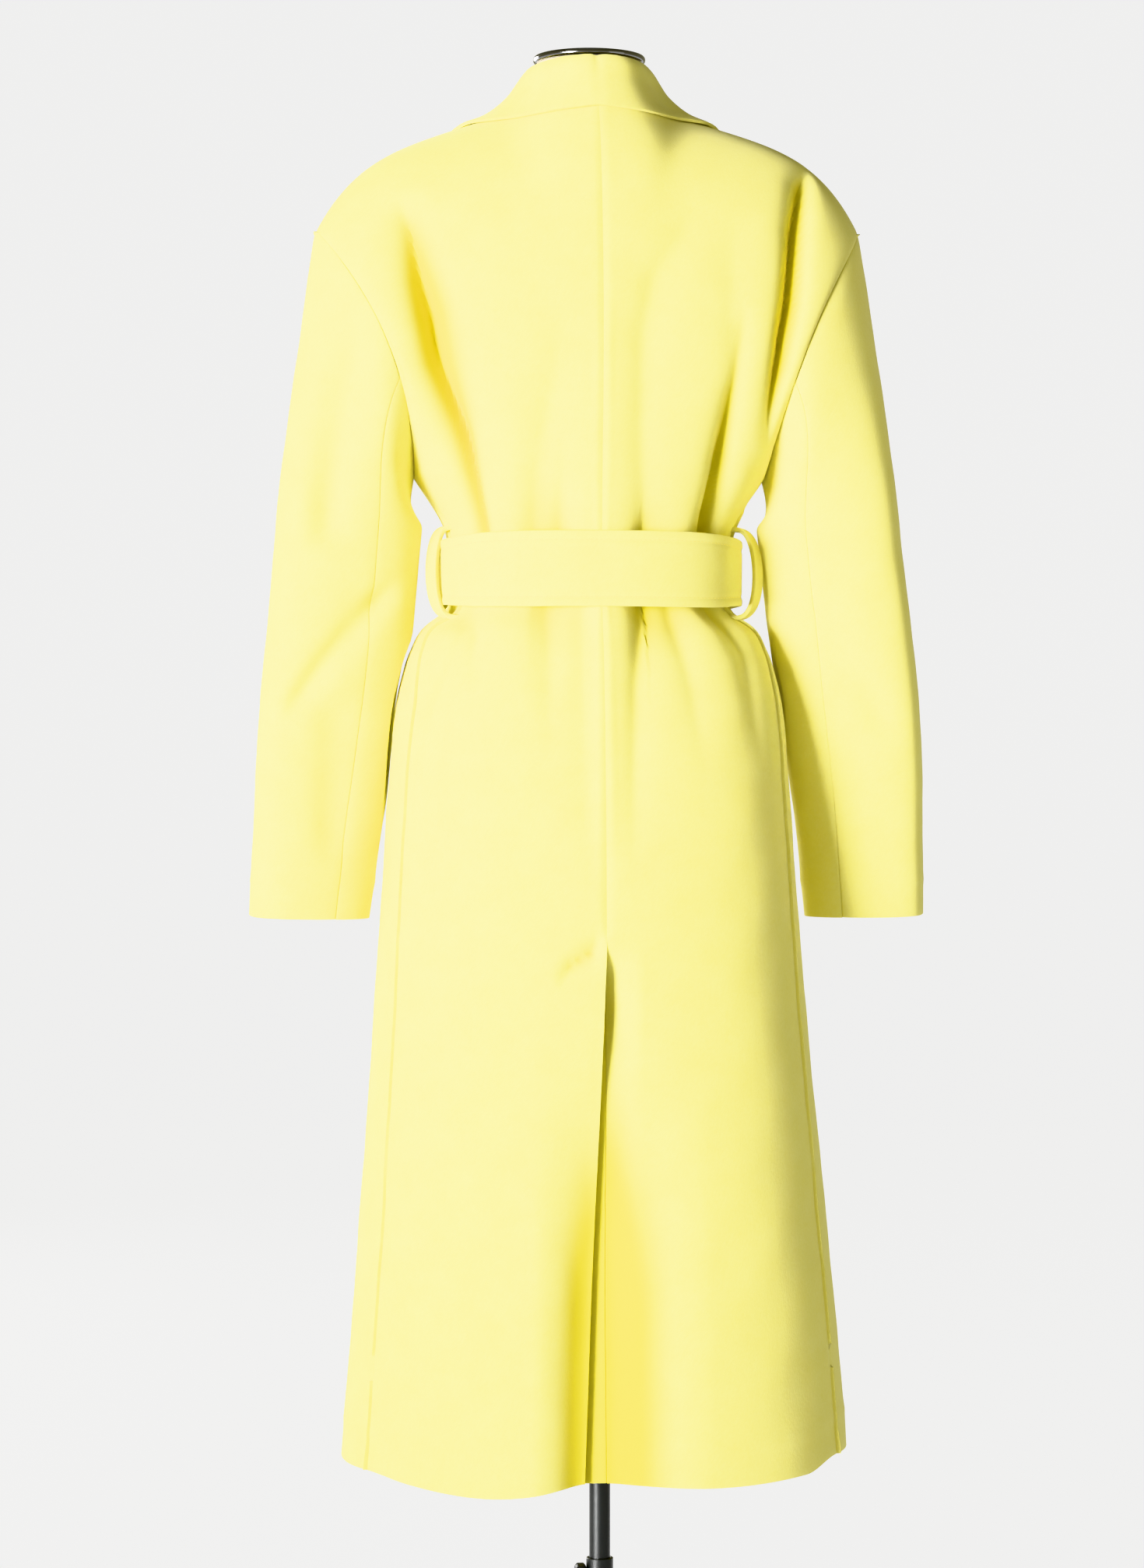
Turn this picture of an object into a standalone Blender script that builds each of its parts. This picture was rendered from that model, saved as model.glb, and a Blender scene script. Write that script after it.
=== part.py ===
"""Long belted coat worn by a limbless dress form on a telescopic stand.

Metres, +Z up, the coat's front towards -Y and the wearer's left towards +X.
The coat hangs on the form, and the form stands on a pole whose axis is the Z axis.
"""

import math
from collections import namedtuple

import bmesh
import bpy
import numpy as np

# Cloth and seams
CLOTH = 0.0026
SEAM_GAP = 0.0003
LYING_GAP = 0.0020
MITRE_LIMIT = 0.3
LEFT = 1.0
RIGHT = -1.0
SIDE_NAMES = {LEFT: "left", RIGHT: "right"}

# Where the form's middle stands beside the pole
FORM_SHIFT_X = 0.008
FORM_SHIFT_Y = -0.010

# Heights of the coat
HEM = 0.352
VENT_TOP = 0.800
BREAK_POINT = 1.152
UNDERARM = 1.195
NAPE = 1.514

# Grid of the panels: rows in each height zone below the underarm, then rows up to the shoulder
RowZone = namedtuple("RowZone", "low high rows")
ROW_ZONES = (
    RowZone(HEM, VENT_TOP, 6),
    RowZone(VENT_TOP, 1.020, 4),
    RowZone(1.020, 1.066, 2),
    RowZone(1.066, 1.080, 1),
    RowZone(1.080, BREAK_POINT, 2),
    RowZone(BREAK_POINT, UNDERARM, 2),
)
ARMHOLE_ROWS = 12
NECK_COLUMNS = 4
SHOULDER_COLUMNS = 11

# Body sections from hem to underarm
Section = namedtuple("Section", "height half_width back front squareness side_seam_deg")
SECTIONS = (
    Section(HEM, 0.2135, 0.168, 0.166, 2.15, 66),
    Section(0.600, 0.1950, 0.150, 0.148, 2.15, 66),
    Section(VENT_TOP, 0.1815, 0.138, 0.134, 2.15, 67),
    Section(0.935, 0.1725, 0.130, 0.124, 2.15, 68),
    Section(1.020, 0.1630, 0.119, 0.116, 2.15, 70),
    Section(1.045, 0.1555, 0.114, 0.113, 2.15, 72),
    Section(1.066, 0.1430, 0.107, 0.110, 2.20, 75),
    Section(1.080, 0.1258, 0.1026, 0.108, 2.20, 77),
    Section(1.112, 0.1215, 0.1022, 0.107, 2.20, 79),
    Section(BREAK_POINT, 0.1255, 0.1026, 0.112, 2.20, 83),
    Section(UNDERARM, 0.1520, 0.105, 0.128, 2.20, 90),
)
SKIRT_FLARE_RIGHT = 0.042
SKIRT_FLARE_TOP = 0.880
SKIRT_FLARE_REACH = 0.440

# Middle lines of the upper body, as distance behind or before the shoulder seam
Profile = namedtuple("Profile", "height depth")
BACK_PROFILE = (
    Profile(UNDERARM, 0.105),
    Profile(1.280, 0.113),
    Profile(1.360, 0.112),
    Profile(1.430, 0.102),
    Profile(1.478, 0.089),
    Profile(NAPE, 0.071),
)
FRONT_PROFILE = (
    Profile(UNDERARM, 0.128),
    Profile(1.270, 0.140),
    Profile(1.340, 0.134),
    Profile(1.420, 0.112),
    Profile(1.510, 0.070),
)

# Armhole loop: its four guide points
Point = namedtuple("Point", "x y z")
SHOULDER_POINTS = {LEFT: Point(0.2355, -0.005, 1.404), RIGHT: Point(0.2330, -0.005, 1.408)}
BACK_NOTCH = Point(0.178, 0.078, 1.300)
UNDERARM_POINT = Point(0.152, 0.000, UNDERARM)
FRONT_NOTCH = Point(0.160, -0.074, 1.305)

# Neckline and shoulder seam
NECK_HALF_WIDTH = 0.066
NECK_SIDE_HEIGHT = 1.511
SHOULDER_SLOPES = {LEFT: 0.056, RIGHT: 0.047}
SHOULDER_DROP_POWER = 5.4
SHOULDER_START = 0.45
SHOULDER_POWER = 1.7
ROW_BOW_POWER = 1.5
ROW_LIFT_ROUND = 0.85
NECK_CURVE_POWER = 0.8

# Wrap of the fronts
WRAP_PAST_MIDDLE = 0.085
UNDER_WRAP_INSET = 0.0105
UNDER_WRAP_INSET_SKIRT = 0.0050
WRAP_BLEND_DEG = (3.0, 28.0)
WRAP_HEM_DEG = (5.0, 80.0)

# Centre-back vent
VENT_SPREAD = 0.019
VENT_RECESS = 0.013
VENT_RECESS_REACH = 0.045
VENT_CURL = 0.005
VENT_CURL_TOP = 0.640
VENT_RAMP = 0.060
UNDERLAP_WIDTH = 0.046
UNDERLAP_TOP = 0.775

# Hem: how much lower each back hangs in its middle, and how much higher each side and front hangs
HEM_DROP = {LEFT: 0.011, RIGHT: 0.005}
HEM_DROP_POWER = 1.4
HEM_LIFT = {LEFT: 0.002, RIGHT: 0.009}
HEM_LIFT_START = 0.165
HEM_LIFT_FULL = 0.195
HEM_REACH = 0.300

# Troughs of the back panels, along paths measured out from the centre-back seam
Fold = namedtuple(
    "Fold", "side top bottom x_top x_bottom bow inner_width outer_width depth_top depth_bottom"
)
BACK_FOLDS = (
    Fold(LEFT, 1.425, 1.100, 0.168, 0.103, -0.004, 0.024, 0.013, 0.012, 0.016),
    Fold(LEFT, 1.270, 1.100, 0.047, 0.058, 0.000, 0.018, 0.018, 0.002, 0.007),
    Fold(LEFT, 1.095, 0.950, 0.112, 0.146, 0.004, 0.014, 0.012, 0.010, 0.002),
    Fold(LEFT, 1.095, 0.960, 0.052, 0.048, 0.000, 0.018, 0.018, 0.006, 0.001),
    Fold(RIGHT, 1.440, 1.160, 0.172, 0.118, 0.008, 0.020, 0.013, 0.012, 0.010),
    Fold(RIGHT, 1.360, 1.100, 0.124, 0.094, 0.004, 0.020, 0.016, 0.002, 0.015),
    Fold(RIGHT, 1.400, 1.100, 0.064, 0.041, -0.026, 0.022, 0.022, 0.003, 0.008),
    Fold(RIGHT, 1.095, 0.880, 0.036, 0.032, -0.002, 0.018, 0.018, 0.008, 0.003),
    Fold(RIGHT, 1.095, 0.960, 0.070, 0.086, 0.000, 0.016, 0.016, 0.006, 0.001),
    Fold(RIGHT, 1.095, 0.970, 0.098, 0.138, 0.000, 0.014, 0.012, 0.009, 0.002),
)
FOLD_FADE = 0.16
SEAM_HOLD = 1.8
SIDE_WRAP = 0.020

# Troughs of the fronts, along paths measured in degrees from the middle of the front
FrontFold = namedtuple("FrontFold", "side top bottom deg_top deg_bottom width_deg depth_top depth_bottom")
FRONT_FOLDS = (
    FrontFold(LEFT, 1.290, 1.100, 58, 52, 8, 0.003, 0.011),
    FrontFold(LEFT, 1.095, 0.930, 55, 62, 9, 0.008, 0.002),
    FrontFold(LEFT, 1.095, 0.880, 36, 40, 8, 0.006, 0.002),
    FrontFold(RIGHT, 1.300, 1.100, 60, 50, 8, 0.003, 0.012),
    FrontFold(RIGHT, 1.230, 1.100, 26, 30, 7, 0.002, 0.007),
    FrontFold(RIGHT, 1.095, 0.920, 52, 60, 9, 0.009, 0.002),
    FrontFold(RIGHT, 1.095, 0.860, 30, 36, 8, 0.007, 0.002),
)

# Sleeve sections below the armhole: middle, half sizes and how far the outer edge turns forward
SleeveSection = namedtuple("SleeveSection", "height x y half_width half_depth slant_deg")
SLEEVE_SECTIONS = (
    SleeveSection(1.150, 0.2080, 0.004, 0.0621, 0.046, 0),
    SleeveSection(1.060, 0.2145, 0.000, 0.0625, 0.041, 0),
    SleeveSection(0.980, 0.2220, -0.014, 0.0608, 0.038, 0),
    SleeveSection(0.900, 0.2300, -0.031, 0.0561, 0.035, 0),
    SleeveSection(0.816, 0.2370, -0.047, 0.0524, 0.033, 0),
)
SLEEVE_HEAD_RINGS = 6
SLEEVE_RINGS = 9
HEAD_PULL = 0.130
HEAD_TOP_WAY = Point(0.20, 0.00, -0.98)
HEAD_BACK_WAY = Point(0.45, 0.05, -0.89)
HEAD_UNDER_WAY = Point(0.20, 0.00, -0.98)
HEAD_FRONT_WAY = Point(0.45, -0.02, -0.89)
HIND_SEAM_DEG = 105
FORE_SEAM_DEG = 255
SLEEVE_BODY_GAP = 0.0035
SLEEVE_SWING = {LEFT: 0.0025, RIGHT: 0.0115}
SLEEVE_SWING_TOP = 1.200
SLEEVE_SWING_REACH = 0.300
RING_LEAN = 0.30
AXIS_STEP = 0.010
HEAD_ARRIVE = 0.8
UNDERARM_EASE = 0.030

# Troughs of the sleeves, in degrees round from the outer edge, towards the back
SleeveFold = namedtuple("SleeveFold", "side top bottom deg_top deg_bottom width_deg depth")
SLEEVE_FOLDS = (
    SleeveFold(LEFT, 1.330, 1.130, 62, 66, 20, 0.006),
    SleeveFold(LEFT, 1.110, 0.980, 120, 40, 18, 0.005),
    SleeveFold(RIGHT, 1.310, 1.150, 58, 70, 20, 0.005),
    SleeveFold(RIGHT, 1.090, 0.960, 110, 50, 18, 0.005),
)

# Collar: stations from the nape round to the front end
CollarStation = namedtuple("CollarStation", "share rise lean bulge")
COLLAR_STATIONS = (
    CollarStation(0.00, 0.0370, 0.0150, 0.0010),
    CollarStation(0.30, 0.0370, 0.0112, -0.0015),
    CollarStation(0.55, 0.0370, 0.0160, -0.0050),
    CollarStation(0.75, 0.0250, 0.0100, -0.0020),
    CollarStation(1.00, 0.0110, 0.0020, 0.0000),
)
COLLAR_COLUMNS = 10
COLLAR_SHOULDER_SHARE = 0.55
COLLAR_EDGE_NAPE = 1.504
COLLAR_EDGE_SHOULDER_X = 0.108
COLLAR_FRONT_V = 0.700
COLLAR_FRONT_REACH = 0.42
COLLAR_ROLL_RADIUS = 0.0032
COLLAR_LIFT = 0.0032
FALL_SHARES = (0.36, 0.70, 1.0)
STAND_LIFT = 0.0026

# Lapels: how far out over the front each reaches at its top, and the row where its top edge lies
LAPEL_TOP_V = 0.62
LAPEL_REACH = 0.44
LAPEL_TIP = 0.03
LAPEL_COLUMNS = 5
LAPEL_POWER = 0.75

# Belt
BELT_HEIGHT = 1.112
BELT_HALF_WIDTH = 0.1275
BELT_BACK = 0.1035
BELT_FRONT = 0.1130
BELT_SQUARENESS = 2.20
BELT_CLOTH = 0.0040
BELT_HALF_TALL = 0.0320
BELT_HALF_TALL_SIDE = 0.0275
BELT_SIDE_POWER = 6
BELT_COLUMNS = 44
BELT_ROWS = 3
BELT_GAP_DEG = 3.0

# Belt knot and its hanging ends
KNOT_MIDDLE_X = 0.004
KNOT_SIZE = Point(0.064, 0.034, 0.066)
KNOT_SEGMENTS = 20
KNOT_RINGS = 12
KNOT_SQUARENESS = 2.8
KNOT_CREASE = Point(0.8, 0.0, 0.5)
KNOT_CREASE_WIDTH = 0.25
KNOT_PINCH = 0.16
BeltEnd = namedtuple("BeltEnd", "side x_top x_bottom length width lift rise")
BELT_ENDS = (
    BeltEnd(LEFT, 0.024, 0.040, 0.330, 0.052, 0.0125, 0.0033),
    BeltEnd(RIGHT, -0.016, -0.034, 0.360, 0.052, 0.0050, 0.0010),
)
BELT_END_ROWS = 12

# Belt loops
LOOP_WIDTH = 0.012
LOOP_CLOTH = 0.0040
LOOP_GAP = 0.0018
LOOP_HALF_TALL = 0.0405
LOOP_STANDS_OFF = {LEFT: 0.0035, RIGHT: 0.0100}
LOOP_TURN_DEG = 42.0
LOOP_STEPS = 12
LOOP_COLUMNS = 2

# Dress form
FormSection = namedtuple("FormSection", "height half_width back front squareness")
FORM_SECTIONS = (
    FormSection(0.780, 0.1440, 0.098, 0.092, 2.2),
    FormSection(0.800, 0.1540, 0.107, 0.099, 2.2),
    FormSection(0.860, 0.1580, 0.113, 0.102, 2.2),
    FormSection(0.930, 0.1520, 0.108, 0.099, 2.2),
    FormSection(1.000, 0.1360, 0.094, 0.093, 2.2),
    FormSection(1.060, 0.1120, 0.077, 0.085, 2.2),
    FormSection(1.112, 0.1000, 0.068, 0.079, 2.2),
    FormSection(1.170, 0.1080, 0.074, 0.090, 2.2),
    FormSection(1.240, 0.1260, 0.086, 0.111, 2.2),
    FormSection(1.280, 0.1340, 0.090, 0.117, 2.2),
    FormSection(1.340, 0.1450, 0.091, 0.105, 2.2),
    FormSection(1.400, 0.1640, 0.082, 0.084, 2.0),
    FormSection(1.440, 0.1730, 0.066, 0.062, 1.8),
)
FORM_SHOULDER_SHARES = (0.50, 0.39, 0.27, 0.14)
FORM_SHOULDER_DEPTHS = (0.040, 0.036)
FORM_SHOULDER_SQUARENESS = 1.5
FORM_UNDER_COAT = 0.0039
NECK_SECTIONS = (
    FormSection(1.5040, 0.0590, 0.056, 0.052, 2.0),
    FormSection(1.5150, 0.0510, 0.050, 0.048, 2.0),
    FormSection(1.5310, 0.0470, 0.046, 0.045, 2.0),
    FormSection(1.5525, 0.0455, 0.045, 0.045, 2.0),
)
FORM_COLUMNS = 32
CAP_RADIUS = 0.0485
CAP_TALL = 0.0062
CAP_ROUND = 0.0028
CAP_GAP = 0.0003
CAP_DOME = 0.0010
CAP_RIM_STEPS = 7

# Stand
POLE_RADIUS = 0.0090
POLE_FOOT = 0.100
FLANGE_RADIUS = 0.045
FLANGE_TALL = 0.006
FLANGE_HUB_RADIUS = 0.018
FLANGE_HUB_TALL = 0.030
TUBE_RADIUS = 0.0116
TUBE_BORE = 0.0094
TUBE_TOP = 0.265
TUBE_FOOT = 0.0125
KNOB_HEIGHT = 0.2430
KNOB_RADIUS = 0.0172
KNOB_THICK = 0.0092
KNOB_FACE = 0.0121
KNOB_CHAMFER = 0.0018
SCREW_RADIUS = 0.0035
SCREW_CLEAR = 0.0003
BASE_RADIUS = 0.170
BASE_EDGE = 0.006
BASE_TALL = 0.018
BASE_CHAMFER = 0.002
BASE_HUB_RADIUS = 0.026
BASE_HUB_TOP = 0.050
TURN_STEPS = 32
AXIS_MERGE = 0.00001

Finish = namedtuple("Finish", "name colour roughness metallic")
WOOL = Finish("yellow_wool", (0.95, 0.82, 0.22, 1.0), 0.95, 0.0)
LINEN = Finish("beige_linen", (0.86, 0.78, 0.60, 1.0), 0.90, 0.0)
CHROME = Finish("chrome_trim", (0.75, 0.75, 0.77, 1.0), 0.15, 1.0)
BLACK_METAL = Finish("black_metal", (0.02, 0.022, 0.021, 1.0), 0.45, 0.6)
BLACK_PLASTIC = Finish("black_plastic", (0.02, 0.02, 0.02, 1.0), 0.50, 0.0)


def smooth_curve(knots, values, at):
    """A smooth curve through table values, read at the given places."""
    knots = np.asarray(knots, float)
    values = np.asarray(values, float)
    slopes = np.gradient(values, knots, axis=0)
    index = np.clip(np.searchsorted(knots, at, side="right") - 1, 0, len(knots) - 2)
    step = knots[index + 1] - knots[index]
    share = (at - knots[index]) / step
    if values.ndim > 1:
        step = step[:, None]
        share = share[:, None]
    rise = share * share * (3 - 2 * share)
    start = share * (1 - share) ** 2 * step
    end = share * share * (share - 1) * step
    between = values[index] * (1 - rise) + values[index + 1] * rise
    return between + slopes[index] * start + slopes[index + 1] * end


def ramp(low, high, value):
    """Zero below low, one above high and a soft step between."""
    share = np.clip((value - low) / (high - low), 0.0, 1.0)
    return share * share * (3 - 2 * share)


def signed_power(value, power):
    """A power that keeps the value's sign."""
    return np.sign(value) * np.abs(value) ** power


def section_at(heights):
    """The body section at each height, as one array per table column."""
    table = np.array(SECTIONS)
    read = smooth_curve(table[:, 0], table, np.asarray(heights, float))
    return Section(*read.T)


def profile_at(profile, heights):
    """Depth of a middle line at each height."""
    table = np.array(profile)
    return smooth_curve(table[:, 0], table[:, 1], np.asarray(heights, float))


def loop_through(top, back, under, front, angle):
    """A closed loop through four guide points, pinched where it passes the underarm."""
    top, back, under, front = (np.array(guide) for guide in (top, back, under, front))
    middle = (top + under) / 2
    tall = (top - under) / 2
    wide = (back - front) / 2
    lean = (back + front) / 2 - middle
    turn = np.cos(angle)[:, None]
    swing = np.sin(angle)[:, None]
    pinched = np.where(turn >= 0, swing, swing * np.abs(swing))
    return middle + turn * tall + pinched * wide + swing ** 2 * lean


def armhole(side, angle):
    """Points of an armhole: 0 at the shoulder, 90 degrees at the back, 180 at the underarm."""
    return loop_through(SHOULDER_POINTS[side], BACK_NOTCH, UNDERARM_POINT, FRONT_NOTCH, angle)


def shoulder_height(side, x):
    """Height of the shoulder seam at a distance from the middle."""
    tip = SHOULDER_POINTS[side]
    share = np.clip((x - NECK_HALF_WIDTH) / (tip.x - NECK_HALF_WIDTH), 0, None)
    slope = SHOULDER_SLOPES[side]
    drop = NECK_SIDE_HEIGHT - slope - tip.z
    return NECK_SIDE_HEIGHT - slope * share - drop * share ** SHOULDER_DROP_POWER


def shoulder_blend(shares):
    """How far each upper row has turned from the round body into the shoulder seam's line."""
    return np.clip((shares - SHOULDER_START) / (1 - SHOULDER_START), 0, 1) ** SHOULDER_POWER


def lower_heights():
    """Row heights from the hem to just under the underarm."""
    zones = [np.linspace(low, high, rows, endpoint=False) for low, high, rows in ROW_ZONES]
    return np.concatenate(zones)


def upper_lift(shares):
    """How far up the middle of the body each upper row lies, closing up towards the neck."""
    return ROW_LIFT_ROUND * np.sin(shares * math.pi / 2) + (1 - ROW_LIFT_ROUND) * shares


def upper_shares():
    """Row shares from the underarm to the shoulder seam."""
    return np.linspace(0.0, 1.0, ARMHOLE_ROWS + 1)


def column_angles(side):
    """Column angles of a back from the middle to the side; those past the neck serve the front too."""
    neck = NECK_HALF_WIDTH / SHOULDER_POINTS[side].x
    inner = np.arcsin(neck * np.sin(np.linspace(0.0, math.pi / 2, NECK_COLUMNS, endpoint=False)))
    outer = np.linspace(math.asin(neck), math.pi / 2, SHOULDER_COLUMNS + 1)
    return np.concatenate([inner, outer]), outer


def back_lower(side, heights):
    """Lower back, unmirrored: rows of points from the centre back to the side seam."""
    angles, _ = column_angles(side)
    section = Section(*(column[:, None] for column in section_at(heights)))
    power = section.squareness
    seam = np.sin(np.radians(section.side_seam_deg)) ** (2 / power)
    spread = VENT_SPREAD * np.clip((VENT_TOP - heights) / (VENT_TOP - HEM), 0, 1)[:, None]
    x = section.half_width * seam * np.sin(angles)[None, :]
    y = section.back * np.clip(1 - (x / section.half_width) ** power, 0, None) ** (1 / power)
    z = np.broadcast_to(np.asarray(heights)[:, None], x.shape)
    return np.stack([x, y, z], axis=-1), spread


def back_upper(side, shares):
    """Upper back, unmirrored: rows from the underarm level to the neck and shoulder seam."""
    angles, _ = column_angles(side)
    tip = SHOULDER_POINTS[side]
    across = np.sin(angles)[None, :]
    shares = np.asarray(shares)[:, None]
    nape_z = UNDERARM + (NAPE - UNDERARM) * upper_lift(shares)
    nape_y = profile_at(BACK_PROFILE, nape_z[:, 0])[:, None]
    edge = armhole(side, math.pi * (1 - shares[:, 0]))[:, None, :]
    power = SECTIONS[-1].squareness
    rounding = np.clip(1 - across ** power, 0, None) ** (1 / power)
    round_y = edge[..., 1] + (nape_y - edge[..., 1]) * rounding
    round_z = nape_z + (edge[..., 2] - nape_z) * across ** ROW_BOW_POWER
    top_x = tip.x * across
    on_neck = top_x < NECK_HALF_WIDTH
    neck_share = np.clip(top_x / NECK_HALF_WIDTH, 0, 1)
    neck_y = BACK_PROFILE[-1].depth * (1 - neck_share ** 2) ** NECK_CURVE_POWER
    neck_z = NAPE + (NECK_SIDE_HEIGHT - NAPE) * neck_share ** 2
    top_y = np.where(on_neck, neck_y, tip.y * across)
    top_z = np.where(on_neck, neck_z, shoulder_height(side, top_x))
    straight_y = nape_y + (edge[..., 1] - nape_y) * across
    straight_z = nape_z + (edge[..., 2] - nape_z) * across
    bow_y = top_y - (top_y[:, :1] + (top_y[:, -1:] - top_y[:, :1]) * across)
    bow_z = top_z - (top_z[:, :1] + (top_z[:, -1:] - top_z[:, :1]) * across)
    blend = shoulder_blend(shares)
    x = edge[..., 0] * across
    rise = 1 - (1 - blend) ** 2
    y = round_y * (1 - blend) + (straight_y + bow_y) * blend
    z = round_z * (1 - rise) + (straight_z + bow_z) * rise
    return np.stack(np.broadcast_arrays(x, y, z), axis=-1)


def roll_x(heights):
    """How far the front edge lies on its own side of the middle; below the chest it passes the middle."""
    share = np.clip((heights - BREAK_POINT) / (NECK_SIDE_HEIGHT - BREAK_POINT), 0, 1)
    return -WRAP_PAST_MIDDLE + (NECK_HALF_WIDTH + WRAP_PAST_MIDDLE) * share


def front_angles(edge_x, side_x, side_angle, power):
    """Column angles of a front, from its free edge to its side, measured from the middle of the front."""
    edge = np.arcsin(signed_power(edge_x / side_x, power / 2))
    shares = np.linspace(0.0, 1.0, SHOULDER_COLUMNS + 1)[None, :]
    return edge + (side_angle - edge) * shares


def front_lower(heights):
    """Lower front, unmirrored: rows from the free edge to the side seam, with their angles."""
    section = Section(*(column[:, None] for column in section_at(heights)))
    power = section.squareness
    heights = np.asarray(heights)[:, None]
    side_angle = math.pi - np.radians(section.side_seam_deg)
    angle = front_angles(roll_x(heights), section.half_width, side_angle, power)
    x = section.half_width * signed_power(np.sin(angle), 2 / power)
    depth = np.where(np.cos(angle) >= 0, section.front, section.back)
    y = -depth * signed_power(np.cos(angle), 2 / power)
    return np.stack(np.broadcast_arrays(x, y, heights), axis=-1), np.degrees(angle)


def front_upper(side, shares):
    """Upper front, unmirrored: rows from the underarm level to the shoulder seam, with their angles."""
    tip = SHOULDER_POINTS[side]
    shares = np.asarray(shares)[:, None]
    edge = armhole(side, math.pi * (1 + shares[:, 0]))[:, None, :]
    roll_z = UNDERARM + (NECK_SIDE_HEIGHT - UNDERARM) * upper_lift(shares)
    lapel_x = roll_x(roll_z)
    power = SECTIONS[-1].squareness + (2.0 - SECTIONS[-1].squareness) * shares
    angle = front_angles(lapel_x, edge[..., 0], math.pi / 2, power)
    middle_y = -profile_at(FRONT_PROFILE, roll_z[:, 0])[:, None]
    across = np.linspace(0.0, 1.0, SHOULDER_COLUMNS + 1)[None, :]
    round_x = edge[..., 0] * signed_power(np.sin(angle), 2 / power)
    rounding = np.clip(np.cos(angle), 0, None) ** (2 / power)
    round_y = edge[..., 1] + (middle_y - edge[..., 1]) * rounding
    round_z = roll_z + (edge[..., 2] - roll_z) * across ** ROW_BOW_POWER
    _, seam_angles = column_angles(side)
    seam_x = tip.x * np.sin(seam_angles)[None, :]
    seam_share = (seam_x - NECK_HALF_WIDTH) / (tip.x - NECK_HALF_WIDTH)
    roll_y = round_y[:, :1]
    blend = shoulder_blend(shares)
    roll_y = roll_y * (1 - blend) + tip.y * NECK_HALF_WIDTH / tip.x * blend
    straight_y = roll_y + (edge[..., 1] - roll_y) * seam_share
    straight_z = roll_z + (edge[..., 2] - roll_z) * seam_share
    chord_z = NECK_SIDE_HEIGHT + (tip.z - NECK_SIDE_HEIGHT) * seam_share
    bow_z = shoulder_height(side, seam_x) - chord_z
    rise = 1 - (1 - blend) ** 2
    y = round_y * (1 - blend) + straight_y * blend
    z = round_z * (1 - rise) + (straight_z + bow_z) * rise
    return np.stack(np.broadcast_arrays(round_x, y, z), axis=-1), np.degrees(angle)


def grid_normals(points):
    """Unit normals of a grid of points, by the right-hand rule of columns then rows."""
    along = np.gradient(points, axis=1, edge_order=2)
    up = np.gradient(points, axis=0, edge_order=2)
    normal = np.cross(along, up)
    return normal / np.linalg.norm(normal, axis=-1, keepdims=True)


def facing(points, outward):
    """Grid normals turned so that, on the whole, they agree with an outward hint."""
    normal = grid_normals(points)
    if np.sum(normal * outward) < 0:
        normal = -normal
    return normal


def from_axis(points):
    """Directions away from the body's upright axis."""
    hint = points.copy()
    hint[..., 2] = 0.0
    return hint


def fold_share(top, bottom, heights):
    """Share run down a fold, and a window that fades it in and out at its ends."""
    share = np.clip((top - heights) / (top - bottom), 0.0, 1.0)
    inside = ramp(0.0, FOLD_FADE, (top - heights) / (top - bottom))
    return share, inside * ramp(0.0, FOLD_FADE, (heights - bottom) / (top - bottom))


def back_fold_depth(side, points):
    """Depth of all troughs of one back panel at its points."""
    x = points[..., 0]
    z = points[..., 2]
    depth = np.zeros_like(x)
    for fold in BACK_FOLDS:
        if fold.side != side:
            continue
        share, window = fold_share(fold.top, fold.bottom, z)
        path = fold.x_top + (fold.x_bottom - fold.x_top) * share + fold.bow * np.sin(math.pi * share)
        width = np.where(x < path, fold.inner_width, fold.outer_width)
        size = fold.depth_top + (fold.depth_bottom - fold.depth_top) * share
        depth += size * window * np.exp(-(((x - path) / width) ** 2))
    return depth


def front_fold_depth(side, points, angle):
    """Depth of all troughs of one front at its points."""
    z = points[..., 2]
    depth = np.zeros_like(z)
    for fold in FRONT_FOLDS:
        if fold.side != side:
            continue
        share, window = fold_share(fold.top, fold.bottom, z)
        path = fold.deg_top + (fold.deg_bottom - fold.deg_top) * share
        size = fold.depth_top + (fold.depth_bottom - fold.depth_top) * share
        depth += size * window * np.exp(-(((angle - path) / fold.width_deg) ** 2))
    return depth


def seam_window(rows, columns):
    """A window over a panel that holds its inner edge, armhole and shoulder seam in place."""
    place = np.arange(columns)[None, :]
    row = np.arange(rows)[:, None]
    inner = ramp(0.0, SEAM_HOLD, place)
    outer = ramp(0.0, SEAM_HOLD, columns - 1 - place)
    above = ramp(0.0, 2.0, row - (rows - ARMHOLE_ROWS - 4))
    top = ramp(0.0, SEAM_HOLD, rows - 1 - row)
    return inner * (1 - above + above * outer) * top


def near_hem(points):
    """One at the hem, fading out over the lower skirt."""
    return 1 - ramp(0.0, HEM_REACH, points[..., 2] - HEM)


def flared(points):
    """The skirt's right half let out towards the hem, as it hangs."""
    wider = SKIRT_FLARE_RIGHT * ramp(0.0, SKIRT_FLARE_REACH, SKIRT_FLARE_TOP - points[..., 2])
    moved = points.copy()
    moved[..., 0] *= np.where(points[..., 0] < 0, 1 + wider, 1.0)
    return moved


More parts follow.
